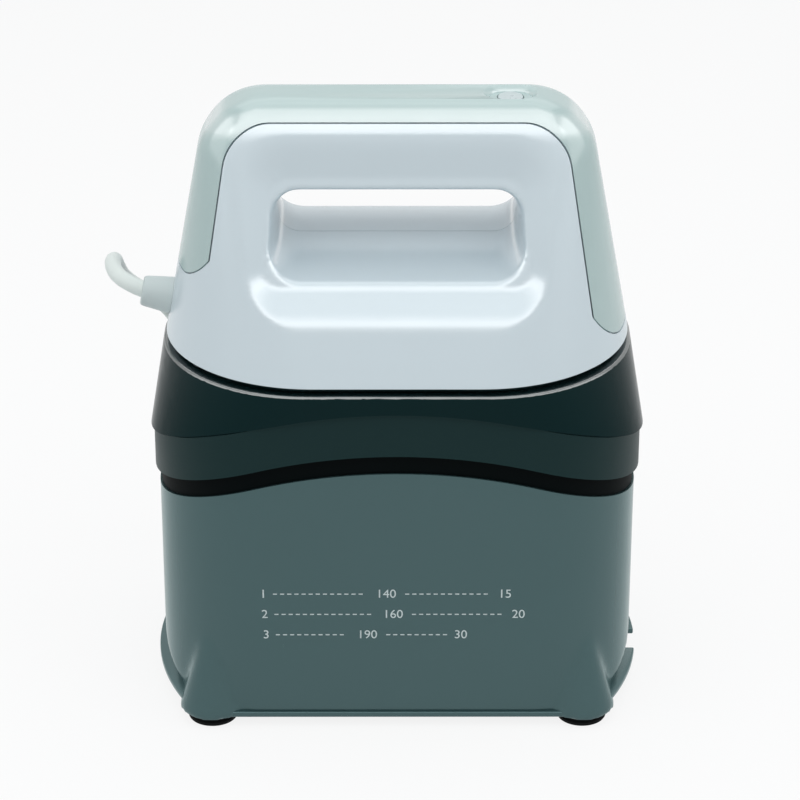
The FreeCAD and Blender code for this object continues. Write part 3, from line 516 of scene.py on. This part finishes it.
def base_skin():
    """Outer wall of the base with its corner bosses, softly blended."""
    rings = []
    round_top = base_lift + side_round
    levels = list(base_lift + side_round * (1 - np.cos(np.linspace(0, math.pi / 2, 14))))
    levels += list(np.linspace(round_top, base_top + 6, 24)[1:])
    outline = plan(base_width / 2, base_depth / 2, base_corner, (60, 20), 24)
    for z in levels:
        reach = base_width / 2
        if z < round_top:
            reach += math.sqrt(side_round ** 2 - (round_top - z) ** 2) - side_round
        ring = outline.copy()
        ring[:, 0] = np.clip(ring[:, 0], -reach, reach)
        rings.append(at_level(ring, z))
    parts = [skin("wall", rings)]
    centre = np.array([base_width / 2 - base_corner, base_depth / 2 - base_corner])
    outward = np.array([boss_x, boss_y]) - centre
    tip = centre + outward / np.linalg.norm(outward) * (base_corner - boss_tip)
    for sx in (-1, 1):
        for sy in (-1, 1):
            low = circle(48) * boss_radius + np.array([sx * boss_x, sy * boss_y])
            high = circle(48) * boss_tip + tip * np.array([sx, sy])
            parts.append(skin("boss", [at_level(low, foot_height), at_level(low, foot_height + 0.6),
                                       at_level(high, foot_height + boss_height)]))
    solid = joined("base_wall", parts)
    worked(solid, "REMESH", mode="VOXEL", voxel_size=1.6 * FINE * MM)
    worked(solid, "SMOOTH", factor=0.5, iterations=12)
    drop_to_seam(solid, -1)
    sliced(solid, (0, 0, base_top), (0, 0, 1))
    drop_to_seam(solid, 1)
    return worked(solid, "SOLIDIFY", thickness=base_wall * MM, offset=-1.0)


def side_lip(side):
    """Curved lip at the foot of a side wall; the right one (1) has a notch."""
    spans = [(-lip_half, lip_half)] if side < 0 else [(-lip_half, lip_notch[0]), (lip_notch[1], lip_half)]
    parts = []
    for low, high in spans:
        bow = [(lip_reach - lip_bow + math.sqrt(lip_bow ** 2 - y ** 2), y) for y in np.linspace(low, high, 60)]
        outline = np.array(bow + [(lip_root, high), (lip_root, low)]) * np.array([side, 1])
        parts.append(prism("lip", outline, 2, lip_low, lip_high))
    return softened(joined("lip", parts), 2)


def foot_bead(face):
    """Bead along the lower edge of the front (-1) or rear (1) wall."""
    outer, inner = face * (base_depth / 2 + bead_proud), face * (base_depth / 2 - bead_root)
    top = base_lift + bead_height
    outline = np.array([(inner, base_lift), (outer, base_lift), (outer, top), (inner, top)])
    return softened(prism("bead", outline, 0, -bead_half, bead_half), 3)


# ---------------------------------------------------------------- node trees
FLOAT, VECTOR, COLOR, COUNT = "NodeSocketFloat", "NodeSocketVector", "NodeSocketColor", "NodeSocketInt"
OBJECT, MATERIAL, GEOMETRY = "NodeSocketObject", "NodeSocketMaterial", "NodeSocketGeometry"


def tree_of(kind, name, inputs, outputs):
    """Empty node group with named sockets, and its two end nodes."""
    tree = bpy.data.node_groups.new(name, kind)
    for label, socket_type, default in inputs:
        socket = tree.interface.new_socket(label, in_out="INPUT", socket_type=socket_type)
        if default is not None:
            socket.default_value = default
    for label, socket_type in outputs:
        tree.interface.new_socket(label, in_out="OUTPUT", socket_type=socket_type)
    return tree, tree.nodes.new("NodeGroupInput"), tree.nodes.new("NodeGroupOutput")


def wire(tree, *pairs):
    for source, target in pairs:
        tree.links.new(source, target)


def repeater(name, inputs):
    """Geometry tree that is still to be filled."""
    return tree_of("GeometryNodeTree", name, [("Geometry", GEOMETRY, None)] + inputs + [("Finish", MATERIAL, None)],
                   [("Geometry", GEOMETRY)])


def repeat(tree, given, out, points, piece):
    """Ends a geometry tree: the piece on every point, made real and given its finish."""
    copies = tree.nodes.new("GeometryNodeInstanceOnPoints")
    real = tree.nodes.new("GeometryNodeRealizeInstances")
    coated = tree.nodes.new("GeometryNodeSetMaterial")
    wire(tree, (points, copies.inputs["Points"]), (piece, copies.inputs["Instance"]),
         (copies.outputs["Instances"], real.inputs["Geometry"]),
         (real.outputs["Geometry"], coated.inputs["Geometry"]),
         (given.outputs["Finish"], coated.inputs["Material"]),
         (coated.outputs["Geometry"], out.inputs["Geometry"]))
    return tree


def corner_copies():
    """One copy of a piece on each corner of a rectangle."""
    tree, given, out = repeater("Corner copies", [("Piece", OBJECT, None), ("Length", FLOAT, 0.1),
                                                  ("Width", FLOAT, 0.1)])
    grid = tree.nodes.new("GeometryNodeMeshGrid")
    grid.inputs["Vertices X"].default_value = 2
    grid.inputs["Vertices Y"].default_value = 2
    piece = tree.nodes.new("GeometryNodeObjectInfo")
    wire(tree, (given.outputs["Length"], grid.inputs["Size X"]), (given.outputs["Width"], grid.inputs["Size Y"]),
         (given.outputs["Piece"], piece.inputs["Object"]))
    return repeat(tree, given, out, grid.outputs["Mesh"], piece.outputs["Geometry"])


def dash_row():
    """Short printed dashes along X, evenly spaced, in the plane of a front wall."""
    tree, given, out = repeater("Dash row", [("Start", VECTOR, None), ("Pitch", FLOAT, 0.003), ("Count", COUNT, 8),
                                             ("Dash", VECTOR, None)])
    step = tree.nodes.new("ShaderNodeCombineXYZ")
    line = tree.nodes.new("GeometryNodeMeshLine")
    cube = tree.nodes.new("GeometryNodeMeshCube")
    wire(tree, (given.outputs["Pitch"], step.inputs["X"]), (given.outputs["Count"], line.inputs["Count"]),
         (given.outputs["Start"], line.inputs["Start Location"]), (step.outputs["Vector"], line.inputs["Offset"]),
         (given.outputs["Dash"], cube.inputs["Size"]))
    return repeat(tree, given, out, line.outputs["Mesh"], cube.outputs["Mesh"])


def grown(name, tree, values):
    """Plain mesh that a geometry tree makes with these values."""
    obj = placed(name, bpy.data.meshes.new(name))
    modifier = obj.modifiers.new("tree", "NODES")
    modifier.node_group = tree
    for item in tree.interface.items_tree:
        if item.in_out == "INPUT" and item.name in values:
            modifier[item.identifier] = values[item.name]
    return plain(obj)


# ---------------------------------------------------------------- finishes
def linear(*rgb):
    """Display colour, 0 to 255, as the linear colour that a shader takes."""
    return tuple(((c / 255 + 0.055) / 1.055) ** 2.4 if c > 10 else c / 255 / 12.92 for c in rgb) + (1.0,)


def effect(name, inputs, output, output_type=FLOAT):
    """Shader group with a Vector and these inputs and one output."""
    return tree_of("ShaderNodeTree", name, [("Vector", VECTOR, None)] + inputs, [(output, output_type)])


def noise(tree, vector, scale, detail=3.0, roughness=0.5):
    node = tree.nodes.new("ShaderNodeTexNoise")
    node.inputs["Detail"].default_value = detail
    node.inputs["Roughness"].default_value = roughness
    tree.links.new(vector, node.inputs["Vector"])
    if isinstance(scale, bpy.types.NodeSocket):
        tree.links.new(scale, node.inputs["Scale"])
    else:
        node.inputs["Scale"].default_value = scale
    return node.outputs["Fac"]


def arithmetic(tree, operation, first, second):
    """Result of one math node on two sockets or numbers."""
    node = tree.nodes.new("ShaderNodeMath")
    node.operation = operation
    for socket, value in zip(node.inputs, (first, second)):
        if isinstance(value, bpy.types.NodeSocket):
            tree.links.new(value, socket)
        else:
            socket.default_value = value
    return node.outputs[0]


def moulded_grain():
    """Fine spark-eroded grain of moulded plastic, as a height."""
    tree, given, out = effect("Moulded grain", [("Scale", FLOAT, 1500.0)], "Height")
    cells = tree.nodes.new("ShaderNodeTexVoronoi")
    cells.feature = "SMOOTH_F1"
    fine = noise(tree, given.outputs["Vector"], given.outputs["Scale"], 2.0)
    both = arithmetic(tree, "ADD", cells.outputs["Distance"], fine)
    wire(tree, (given.outputs["Vector"], cells.inputs["Vector"]), (given.outputs["Scale"], cells.inputs["Scale"]),
         (arithmetic(tree, "MULTIPLY", both, 0.5), out.inputs["Height"]))
    return tree


def tone_drift():
    """Slow, slight change of a colour over a surface."""
    tree, given, out = effect("Tone drift", [("Color", COLOR, None), ("Scale", FLOAT, 14.0),
                                             ("Amount", FLOAT, 0.04)], "Color", COLOR)
    slow = noise(tree, given.outputs["Vector"], given.outputs["Scale"], 2.0)
    centred = arithmetic(tree, "SUBTRACT", slow, 0.5)
    gain = arithmetic(tree, "ADD", arithmetic(tree, "MULTIPLY", centred, given.outputs["Amount"]), 1.0)
    change = tree.nodes.new("ShaderNodeHueSaturation")
    wire(tree, (given.outputs["Color"], change.inputs["Color"]), (gain, change.inputs["Value"]),
         (change.outputs["Color"], out.inputs["Color"]))
    return tree


def handled_surface():
    """Roughness with faint smudges and fine rubbed specks."""
    tree, given, out = effect("Handled surface", [("Roughness", FLOAT, 0.4), ("Amount", FLOAT, 0.08)], "Roughness")
    smudges = arithmetic(tree, "MULTIPLY", noise(tree, given.outputs["Vector"], 38.0, 4.0, 0.62), 0.75)
    specks = arithmetic(tree, "MULTIPLY", noise(tree, given.outputs["Vector"], 620.0, 2.0), 0.25)
    centred = arithmetic(tree, "SUBTRACT", arithmetic(tree, "ADD", smudges, specks), 0.5)
    change = arithmetic(tree, "MULTIPLY", arithmetic(tree, "MULTIPLY", centred, given.outputs["Amount"]), 2.0)
    wire(tree, (arithmetic(tree, "ADD", given.outputs["Roughness"], change), out.inputs["Roughness"]))
    return tree


def drawn_metal():
    """Fine lines of rolled or drawn metal along X, as a height."""
    tree, given, out = effect("Drawn metal", [("Scale", FLOAT, 900.0)], "Height")
    squeeze = tree.nodes.new("ShaderNodeVectorMath")
    squeeze.operation = "MULTIPLY"
    squeeze.inputs[1].default_value = (0.03, 1.0, 1.0)
    lines = noise(tree, squeeze.outputs["Vector"], given.outputs["Scale"], 3.0)
    wire(tree, (given.outputs["Vector"], squeeze.inputs[0]), (lines, out.inputs["Height"]))
    return tree


def painted_highlight_band():
    """Painted highlight: mask of the surfaces that look up within a band, such as a rolled rim, broken by faint
    noise; an extra clear layer is laid there.
    """
    tree, given, out = effect("Painted highlight band", [("Amount", FLOAT, 1.0), ("Low", FLOAT, 0.36),
                                                ("High", FLOAT, 2.0)], "Mask")
    slope = 10.0
    parts = tree.nodes.new("ShaderNodeSeparateXYZ")
    up = parts.outputs["Z"]
    rise = arithmetic(tree, "MULTIPLY", arithmetic(tree, "SUBTRACT", up, given.outputs["Low"]), slope)
    fall = arithmetic(tree, "MULTIPLY", arithmetic(tree, "SUBTRACT", given.outputs["High"], up), slope)
    band = tree.nodes.new("ShaderNodeMapRange")
    faint = arithmetic(tree, "MULTIPLY", noise(tree, given.outputs["Vector"], 60.0), 0.3)
    uneven_highlight = arithmetic(tree, "MULTIPLY", band.outputs["Result"], arithmetic(tree, "ADD", faint, 0.8))
    wire(tree, (tree.nodes.new("ShaderNodeNewGeometry").outputs["Normal"], parts.inputs["Vector"]),
         (arithmetic(tree, "ADD", arithmetic(tree, "MINIMUM", rise, fall), 0.5), band.inputs["Value"]),
         (arithmetic(tree, "MULTIPLY", uneven_highlight, given.outputs["Amount"]), out.inputs["Mask"]))
    return tree


# the last group paints a highlight: a clear layer only on surfaces whose normal looks up within a band
GRAIN, DRIFT, HANDLED, DRAWN, PAINTED_HIGHLIGHT = (make() for make in (moulded_grain, tone_drift, handled_surface, drawn_metal,
                                                            painted_highlight_band))
coat_roughness, bump_strength = 0.24, 0.6


def finish(name, color, rough, grain=1500.0, depth=0.02, drift=0.05, marks=0.06, metal=0.0, coat=0.0,
           specular=0.5, relief=GRAIN, painted_highlight=None, tint=(1.0, 1.0, 1.0, 1.0)):
    """Material of one finish: its colour drifts, its gloss is uneven and its surface has a fine relief.

    The painted-highlight argument is the amount, the band of the upward normal (low, high) and the index of a clear
    layer that is laid only on that band as a painted highlight."""
    material = bpy.data.materials.new(name)
    material.use_nodes = True
    tree = material.node_tree
    shader = tree.nodes["Principled BSDF"]
    place = tree.nodes.new("ShaderNodeTexCoord").outputs["Object"]

    def group(kind, values):
        node = tree.nodes.new("ShaderNodeGroup")
        node.node_tree = kind
        tree.links.new(place, node.inputs["Vector"])
        for key, value in values.items():
            node.inputs[key].default_value = value
        return node.outputs[0]

    bump = tree.nodes.new("ShaderNodeBump")
    bump.inputs["Distance"].default_value = depth * MM
    bump.inputs["Strength"].default_value = bump_strength
    wire(tree, (group(DRIFT, {"Color": color, "Amount": drift}), shader.inputs["Base Color"]),
         (group(HANDLED, {"Roughness": rough, "Amount": marks}), shader.inputs["Roughness"]),
         (group(relief, {"Scale": grain}), bump.inputs["Height"]), (bump.outputs["Normal"], shader.inputs["Normal"]))
    shader.inputs["Metallic"].default_value = metal
    shader.inputs["Specular IOR Level"].default_value = specular
    shader.inputs["Specular Tint"].default_value = tint
    if coat or painted_highlight:
        shader.inputs["Coat Weight"].default_value = coat
        shader.inputs["Coat Roughness"].default_value = coat_roughness
    # painted highlight: the clear layer is weighted by the band mask, not spread evenly over the surface
    if painted_highlight:
        amount, low, high, index = painted_highlight
        mask = group(PAINTED_HIGHLIGHT, {"Amount": amount, "Low": low, "High": high})
        tree.links.new(mask, shader.inputs["Coat Weight"])
        shader.inputs["Coat IOR"].default_value = index
    return material


SLATE = (0.5, 1.0, 1.0, 1.0)                   # what the dark slate pieces reflect is cooler
finishes = {
    # shell, strap and collar get a painted highlight: extra clear layer on their rims and on surfaces facing up
    # within a band
    "shell": finish("Satin pale shell", linear(205, 217, 223), 0.24, 1700, 0.010, 0.03, 0.05, metal=0.12,
                    painted_highlight=(1.0, 0.475, 0.64, 2.0)),
    "strap": finish("Pearl sage strap", linear(168, 190, 189), 0.19, 1700, 0.006, 0.03, 0.05, specular=1.0,
                    painted_highlight=(1.0, 0.50, 0.78, 2.25)),
    "collar": finish("Glossy slate collar", linear(7, 27, 29), 0.22, 900, 0.004, 0.08, 0.05, specular=0.12,
                     painted_highlight=(1.0, 0.52, 2.0, 2.4), tint=SLATE),
    "skirt": finish("Matte slate skirt", linear(20, 36, 37), 0.42, 1300, 0.020, 0.08, 0.08, specular=0.20,
                    tint=SLATE),
    "base": finish("Satin teal base", linear(64, 90, 92), 0.25, 1500, 0.012, 0.05, 0.06, metal=0.42, coat=0.22,
                   tint=(0.8, 1.0, 1.0, 1.0)),
    "liner": finish("Black liner", linear(2, 7, 8), 0.55, 1300, 0.020, 0.10, 0.08, specular=0.04),
    "feet": finish("Foot rubber", linear(10, 13, 13), 0.72, 1100, 0.040, 0.15, 0.08, specular=0.1),
    "pads": finish("Silicone pad", linear(58, 58, 60), 0.60, 1000, 0.030, 0.10, 0.08),
    "plate": finish("Coated hot plate", linear(112, 114, 118), 0.38, 700, 0.012, 0.06, 0.12, metal=0.6),
    "element": finish("Element sheath", linear(150, 148, 146), 0.40, 800, 0.02, 0.10, 0.10, metal=1.0,
                      relief=DRAWN),
    "mat": finish("Mineral felt", linear(226, 220, 204), 0.95, 420, 0.30, 0.10, 0.02, specular=0.1),
    "shield": finish("Zinc sheet", linear(178, 182, 184), 0.34, 700, 0.02, 0.10, 0.12, metal=1.0, relief=DRAWN),
    "thermostat": finish("Phenolic", linear(64, 44, 32), 0.45, 900, 0.02, 0.12, 0.05),
    "fuse": finish("Fuse sleeve", linear(196, 196, 190), 0.28, 900, 0.01, 0.05, 0.10, metal=1.0, relief=DRAWN),
    "screw": finish("Zinc screw", linear(156, 158, 160), 0.30, 1600, 0.02, 0.10, 0.12, metal=1.0, relief=DRAWN),
    "button": finish("Satin button", linear(190, 202, 204), 0.28, 1700, 0.010, 0.03, 0.05),
    "switch": finish("Black switch", linear(20, 20, 22), 0.45, 1500, 0.02, 0.10, 0.05),
    "board": finish("Lacquered board", linear(28, 92, 52), 0.28, 500, 0.02, 0.14, 0.05, coat=0.3),
    "tilt": finish("Tilt can", linear(200, 200, 196), 0.25, 900, 0.01, 0.05, 0.10, metal=0.9, relief=DRAWN),
    "clamp": finish("Natural nylon", linear(206, 205, 196), 0.50, 1200, 0.02, 0.06, 0.05),
    "cord": finish("White sheath", linear(222, 230, 227), 0.44, 1400, 0.020, 0.05, 0.06),
    "plug": finish("White plug", linear(222, 229, 227), 0.36, 1500, 0.012, 0.04, 0.05),
    "blades": finish("Plated blades", linear(208, 190, 140), 0.24, 1200, 0.01, 0.06, 0.10, metal=1.0,
                     relief=DRAWN),
}
# the strain relief is the white plastic of the cord, darkened to grey with painted shade
relief_shaded_finish = finish("White sleeve with painted shade", linear(196, 207, 207), 0.40, 1400, 0.020, 0.05, 0.06)
print_ink = finish("Pale print", linear(206, 216, 216), 0.45, 1500, 0.004, 0.06, 0.04)


def dress(obj, slot, body, *nodes):
    """Gives a piece its finish, the body that it rides on and the nodes that it stands for."""
    obj.data.materials.clear()
    obj.data.materials.append(finishes[slot])
    if nodes:
        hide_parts(*nodes)
    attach(obj, body)
    return obj


# ---------------------------------------------------------------- camera, light, floor
camera = placed("Camera", bpy.data.cameras.new("Camera"))
camera.location = (0.0, -1.0785, 0.644)
camera.rotation_euler = (math.radians(63.618), 0.0, math.radians(-0.0565))
camera.data.sensor_width = 36.0
camera.data.lens = 145.9
camera.data.clip_start, camera.data.clip_end = 0.05, 20
scene.camera = camera
scene.view_settings.view_transform = "Standard"

# a large softbox high in front, one overhead, one on either side and one high behind:
# name, place and size in metres, watts
softboxes = (("Key", (0.0, -0.80, 1.10), (2.2, 0.50), 5.2),
             ("Overhead", (0.0, -0.08, 1.25), (1.2, 1.0), 4.2),
             ("Left strip", (-1.05, -0.18, 0.80), (1.1, 0.9), 3.8),
             ("Right strip", (1.05, -0.18, 0.80), (1.1, 0.9), 4.4),
             ("Behind", (0.0, 0.75, 1.20), (1.4, 0.9), 3.2))
light_target = Vector((0, 0, 0.15))
for name, place, size, power in softboxes:
    light = bpy.data.lights.new(name, "AREA")
    light.shape = "RECTANGLE"
    light.size, light.size_y = size
    light.energy = power
    lamp = placed(name, light)
    lamp.location = place
    lamp.rotation_euler = (light_target - lamp.location).to_track_quat("-Z", "Y").to_euler()

ambient_colour, ambient_strength = (0.93, 0.98, 1.0, 1), 0.26
floor_colour, floor_roughness, floor_specular, floor_white_share = (0.86, 0.88, 0.89, 1), 0.8, 0.1, 0.86
floor_half = 4000.0                            # mm


def seen_directly(tree):
    """1 for rays of the camera and for those that gloss or glass sends on, else 0."""
    rays = tree.nodes.new("ShaderNodeLightPath")
    total = rays.outputs["Is Camera Ray"]
    for label in ("Is Glossy Ray", "Is Transmission Ray"):
        total = arithmetic(tree, "MAXIMUM", total, rays.outputs[label])
    return total


def mixed(tree, share, first, second, output):
    """Shows the second shader over the first one by a share."""
    mix = tree.nodes.new("ShaderNodeMixShader")
    wire(tree, (share, mix.inputs["Fac"]), (first.outputs[0], mix.inputs[1]), (second.outputs[0], mix.inputs[2]),
         (mix.outputs[0], tree.nodes[output].inputs["Surface"]))


world = bpy.data.worlds.new("Studio")
scene.world = world
world.use_nodes = True
tree = world.node_tree
ambient = tree.nodes["Background"]
ambient.inputs["Color"].default_value = ambient_colour
ambient.inputs["Strength"].default_value = ambient_strength
white = tree.nodes.new("ShaderNodeBackground")
white.inputs["Strength"].default_value = 1.0
white.inputs["Color"].default_value = (1, 1, 1, 1)
mixed(tree, seen_directly(tree), ambient, white, "World Output")

floor = made("Floor", [(sx * floor_half, sy * floor_half, 0) for sx, sy in ((-1, -1), (1, -1), (1, 1), (-1, 1))],
             [(0, 1, 2, 3)])
paper = bpy.data.materials.new("Pale floor")
paper.use_nodes = True
tree = paper.node_tree
shader = tree.nodes["Principled BSDF"]
shader.inputs["Base Color"].default_value = floor_colour
shader.inputs["Roughness"].default_value = floor_roughness
shader.inputs["Specular IOR Level"].default_value = floor_specular
glow = tree.nodes.new("ShaderNodeEmission")
glow.inputs["Strength"].default_value = 1.0
mixed(tree, arithmetic(tree, "MULTIPLY", seen_directly(tree), floor_white_share), shader, glow, "Material Output")
floor.data.materials.append(paper)

# ---------------------------------------------------------------- lead
relief_at, relief_along = relief_frame()
lead_exit = relief_at + relief_along * relief_length / 2
lead_route = [
    (-91.3, -1.3, 154.1), (-97.9, 0.4, 156.5), (-102.7, 5.3, 157.8), (-104.9, 13.0, 158.6), (-105.2, 25.0, 155.4),
    (-105.6, 38.0, 147.7), (-105.5, 51.5, 137.7), (-102.8, 64.0, 128.2), (-99.0, 75.6, 120.0), (-94.5, 83.0, 113.0),
    (-88.9, 87.5, 104.5), (-82.5, 90.5, 92.0), (-76.4, 92.0, 74.0), (-70.6, 92.0, 53.0), (-66.2, 91.6, 33.0),
    (-63.4, 93.8, 18.5), (-61.0, 100.5, 7.0),
]
tail_route = [(4.0, 159.6, 9.3), (22.0, 157.8, 8.8), (39.0, 152.6, 8.7)]
lead_radius = 3.0
coil_x, coil_y, coil_count, points_per_turn = -16.2, 112.0, 7.28, 16
coil_outer, coil_inner, coil_pitch, coil_level = 44.0, 22.4, 6.0, 3.4


def coil_turns():
    """Clockwise spiral on the floor: inwards in the lower layer, outwards on top of it."""
    points = []
    for k in range(int(coil_count * points_per_turn) + 1):
        turn = k / points_per_turn
        past_middle = turn - coil_count / 2
        radius = coil_outer - coil_pitch * turn if past_middle < 0 else coil_inner + coil_pitch * past_middle
        rise = coil_pitch * min(max((past_middle + 0.2) / 0.4, 0.0), 1.0)
        angle = math.pi - 2 * math.pi * turn
        points.append((coil_x + radius * math.cos(angle), coil_y + radius * math.sin(angle), coil_level + rise))
    return points


route = [tuple(lead_exit)] + lead_route + coil_turns() + tail_route
curve = bpy.data.curves.new("lead", "CURVE")
curve.dimensions = "3D"
line = curve.splines.new("NURBS")
line.points.add(len(route) - 1)
for point, place in zip(line.points, route):
    point.co = (*(c * MM for c in place), 1.0)
line.order_u = 3
line.use_endpoint_u = True
line.resolution_u = 8
curve.bevel_depth = lead_radius * MM
curve.bevel_resolution = 8
curve.use_fill_caps = True
lead = placed("lead", curve)
dress(lead, "cord", "press", "power_cord", "cord_coil", "cord_tail")

relief = smoothed(turned_form("relief", relief_profile), 35.0)
dress(relief, "cord", "press", "strain_relief").data.materials[0] = relief_shaded_finish
plug = dress(from_node("plug_body", "plug", 50.0), "plug", "press", "plug_body")
blades = dress(from_node("plug_blades", "blades"), "blades", "press", "plug_blades")

# ---------------------------------------------------------------- pieces
form = handle_form("handle", 0, shell_bottom - 6)
front, rear = shell_pieces(form)
strap = strap_piece(form)
dress(front, "shell", "press", "front_shell")
dress(rear, "shell", "press", "rear_shell")
dress(strap, "strap", "press", "top_strap")
for node, name, slot, body in (("collar", "collar_skin", "collar", "press"),
                               ("skirt", "skirt_skin", "skirt", "press"),
                               ("heat_plate", "hot_plate", "plate", "press"),
                               ("power_button", "button_cap", "button", "button"),
                               ("base_liner", "liner_skin", "liner", "base")):
    dress(from_node(node, name), slot, body, node)

base = joined("base_skin", [base_skin(), side_lip(1), side_lip(-1), foot_bead(-1), foot_bead(1)])
dress(smoothed(base, 40.0, weighted=False), "base", "base", "base_shell")

foot = lathe("foot", foot_profile)
feet = grown("feet", corner_copies(), {"Piece": foot, "Length": 2 * boss_x * MM, "Width": 2 * boss_y * MM,
                                       "Finish": finishes["feet"]})
bpy.data.objects.remove(foot)
dress(smoothed(feet, 35.0, weighted=False), "feet", "base", "base_feet")

# ---------------------------------------------------------------- print
# level, left end, numbers and right end of each row, mm
print_rows = ((54.8, -50.0, ("1", "140", "15"), 42.0),
              (46.3, -49.6, ("2", "160", "20"), 47.0),
              (37.7, -49.2, ("3", "190", "30"), 26.0))
digit_size, digit_thickness, middle_share, last_width = 4.9, 0.02, 0.46, 5.2
dash_pitch, dash_length, dash_height, dash_thickness, dash_lift, dash_lead = 2.6, 1.5, 0.42, 0.05, 1.5, 0.9
after_first, before_middle, after_middle, before_last = 4.6, 1.6, 10.4, 6.6
print_y = -(base_depth / 2 + 0.05)


def words(name, text, x, z, size):
    """Plain number printed on the front wall, its lower left corner at x, z."""
    curve = bpy.data.curves.new(name, "FONT")
    curve.body = text
    curve.size = size * MM
    curve.extrude = digit_thickness * MM
    obj = placed(name, curve)
    mesh = final_mesh(obj)
    bpy.data.objects.remove(obj)
    for vertex in mesh.vertices:
        across, up, out = vertex.co
        vertex.co = (x * MM + across, print_y * MM - out, z * MM + up)
    return placed(name, mesh)


dashes = dash_row()
printed = []
for z, start, numbers, end in print_rows:
    middle = start + middle_share * (end - start)
    for number, x in zip(numbers, (start, middle, end - last_width)):
        printed.append(words("row_number", number, x, z, digit_size))
    for low, high in ((start + after_first, middle - before_middle), (middle + after_middle, end - before_last)):
        printed.append(grown("row_dashes", dashes, {
            "Start": ((low + dash_lead) * MM, print_y * MM, (z + dash_lift) * MM), "Pitch": dash_pitch * MM,
            "Count": int((high - low) / dash_pitch), "Finish": print_ink,
            "Dash": (dash_length * MM, dash_thickness * MM, dash_height * MM)}))
rows = joined("printed_rows", printed)
rows.data.materials.clear()
rows.data.materials.append(print_ink)
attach(rows, "base")

# ---------------------------------------------------------------- nodes that are shown as they are
for node, obj in frame["nodes"].items():
    slot = next(s["material_slot"] for s in frame["record"]["subparts"] if s["node"] == node)
    obj.data.materials.clear()
    obj.data.materials.append(finishes[slot])
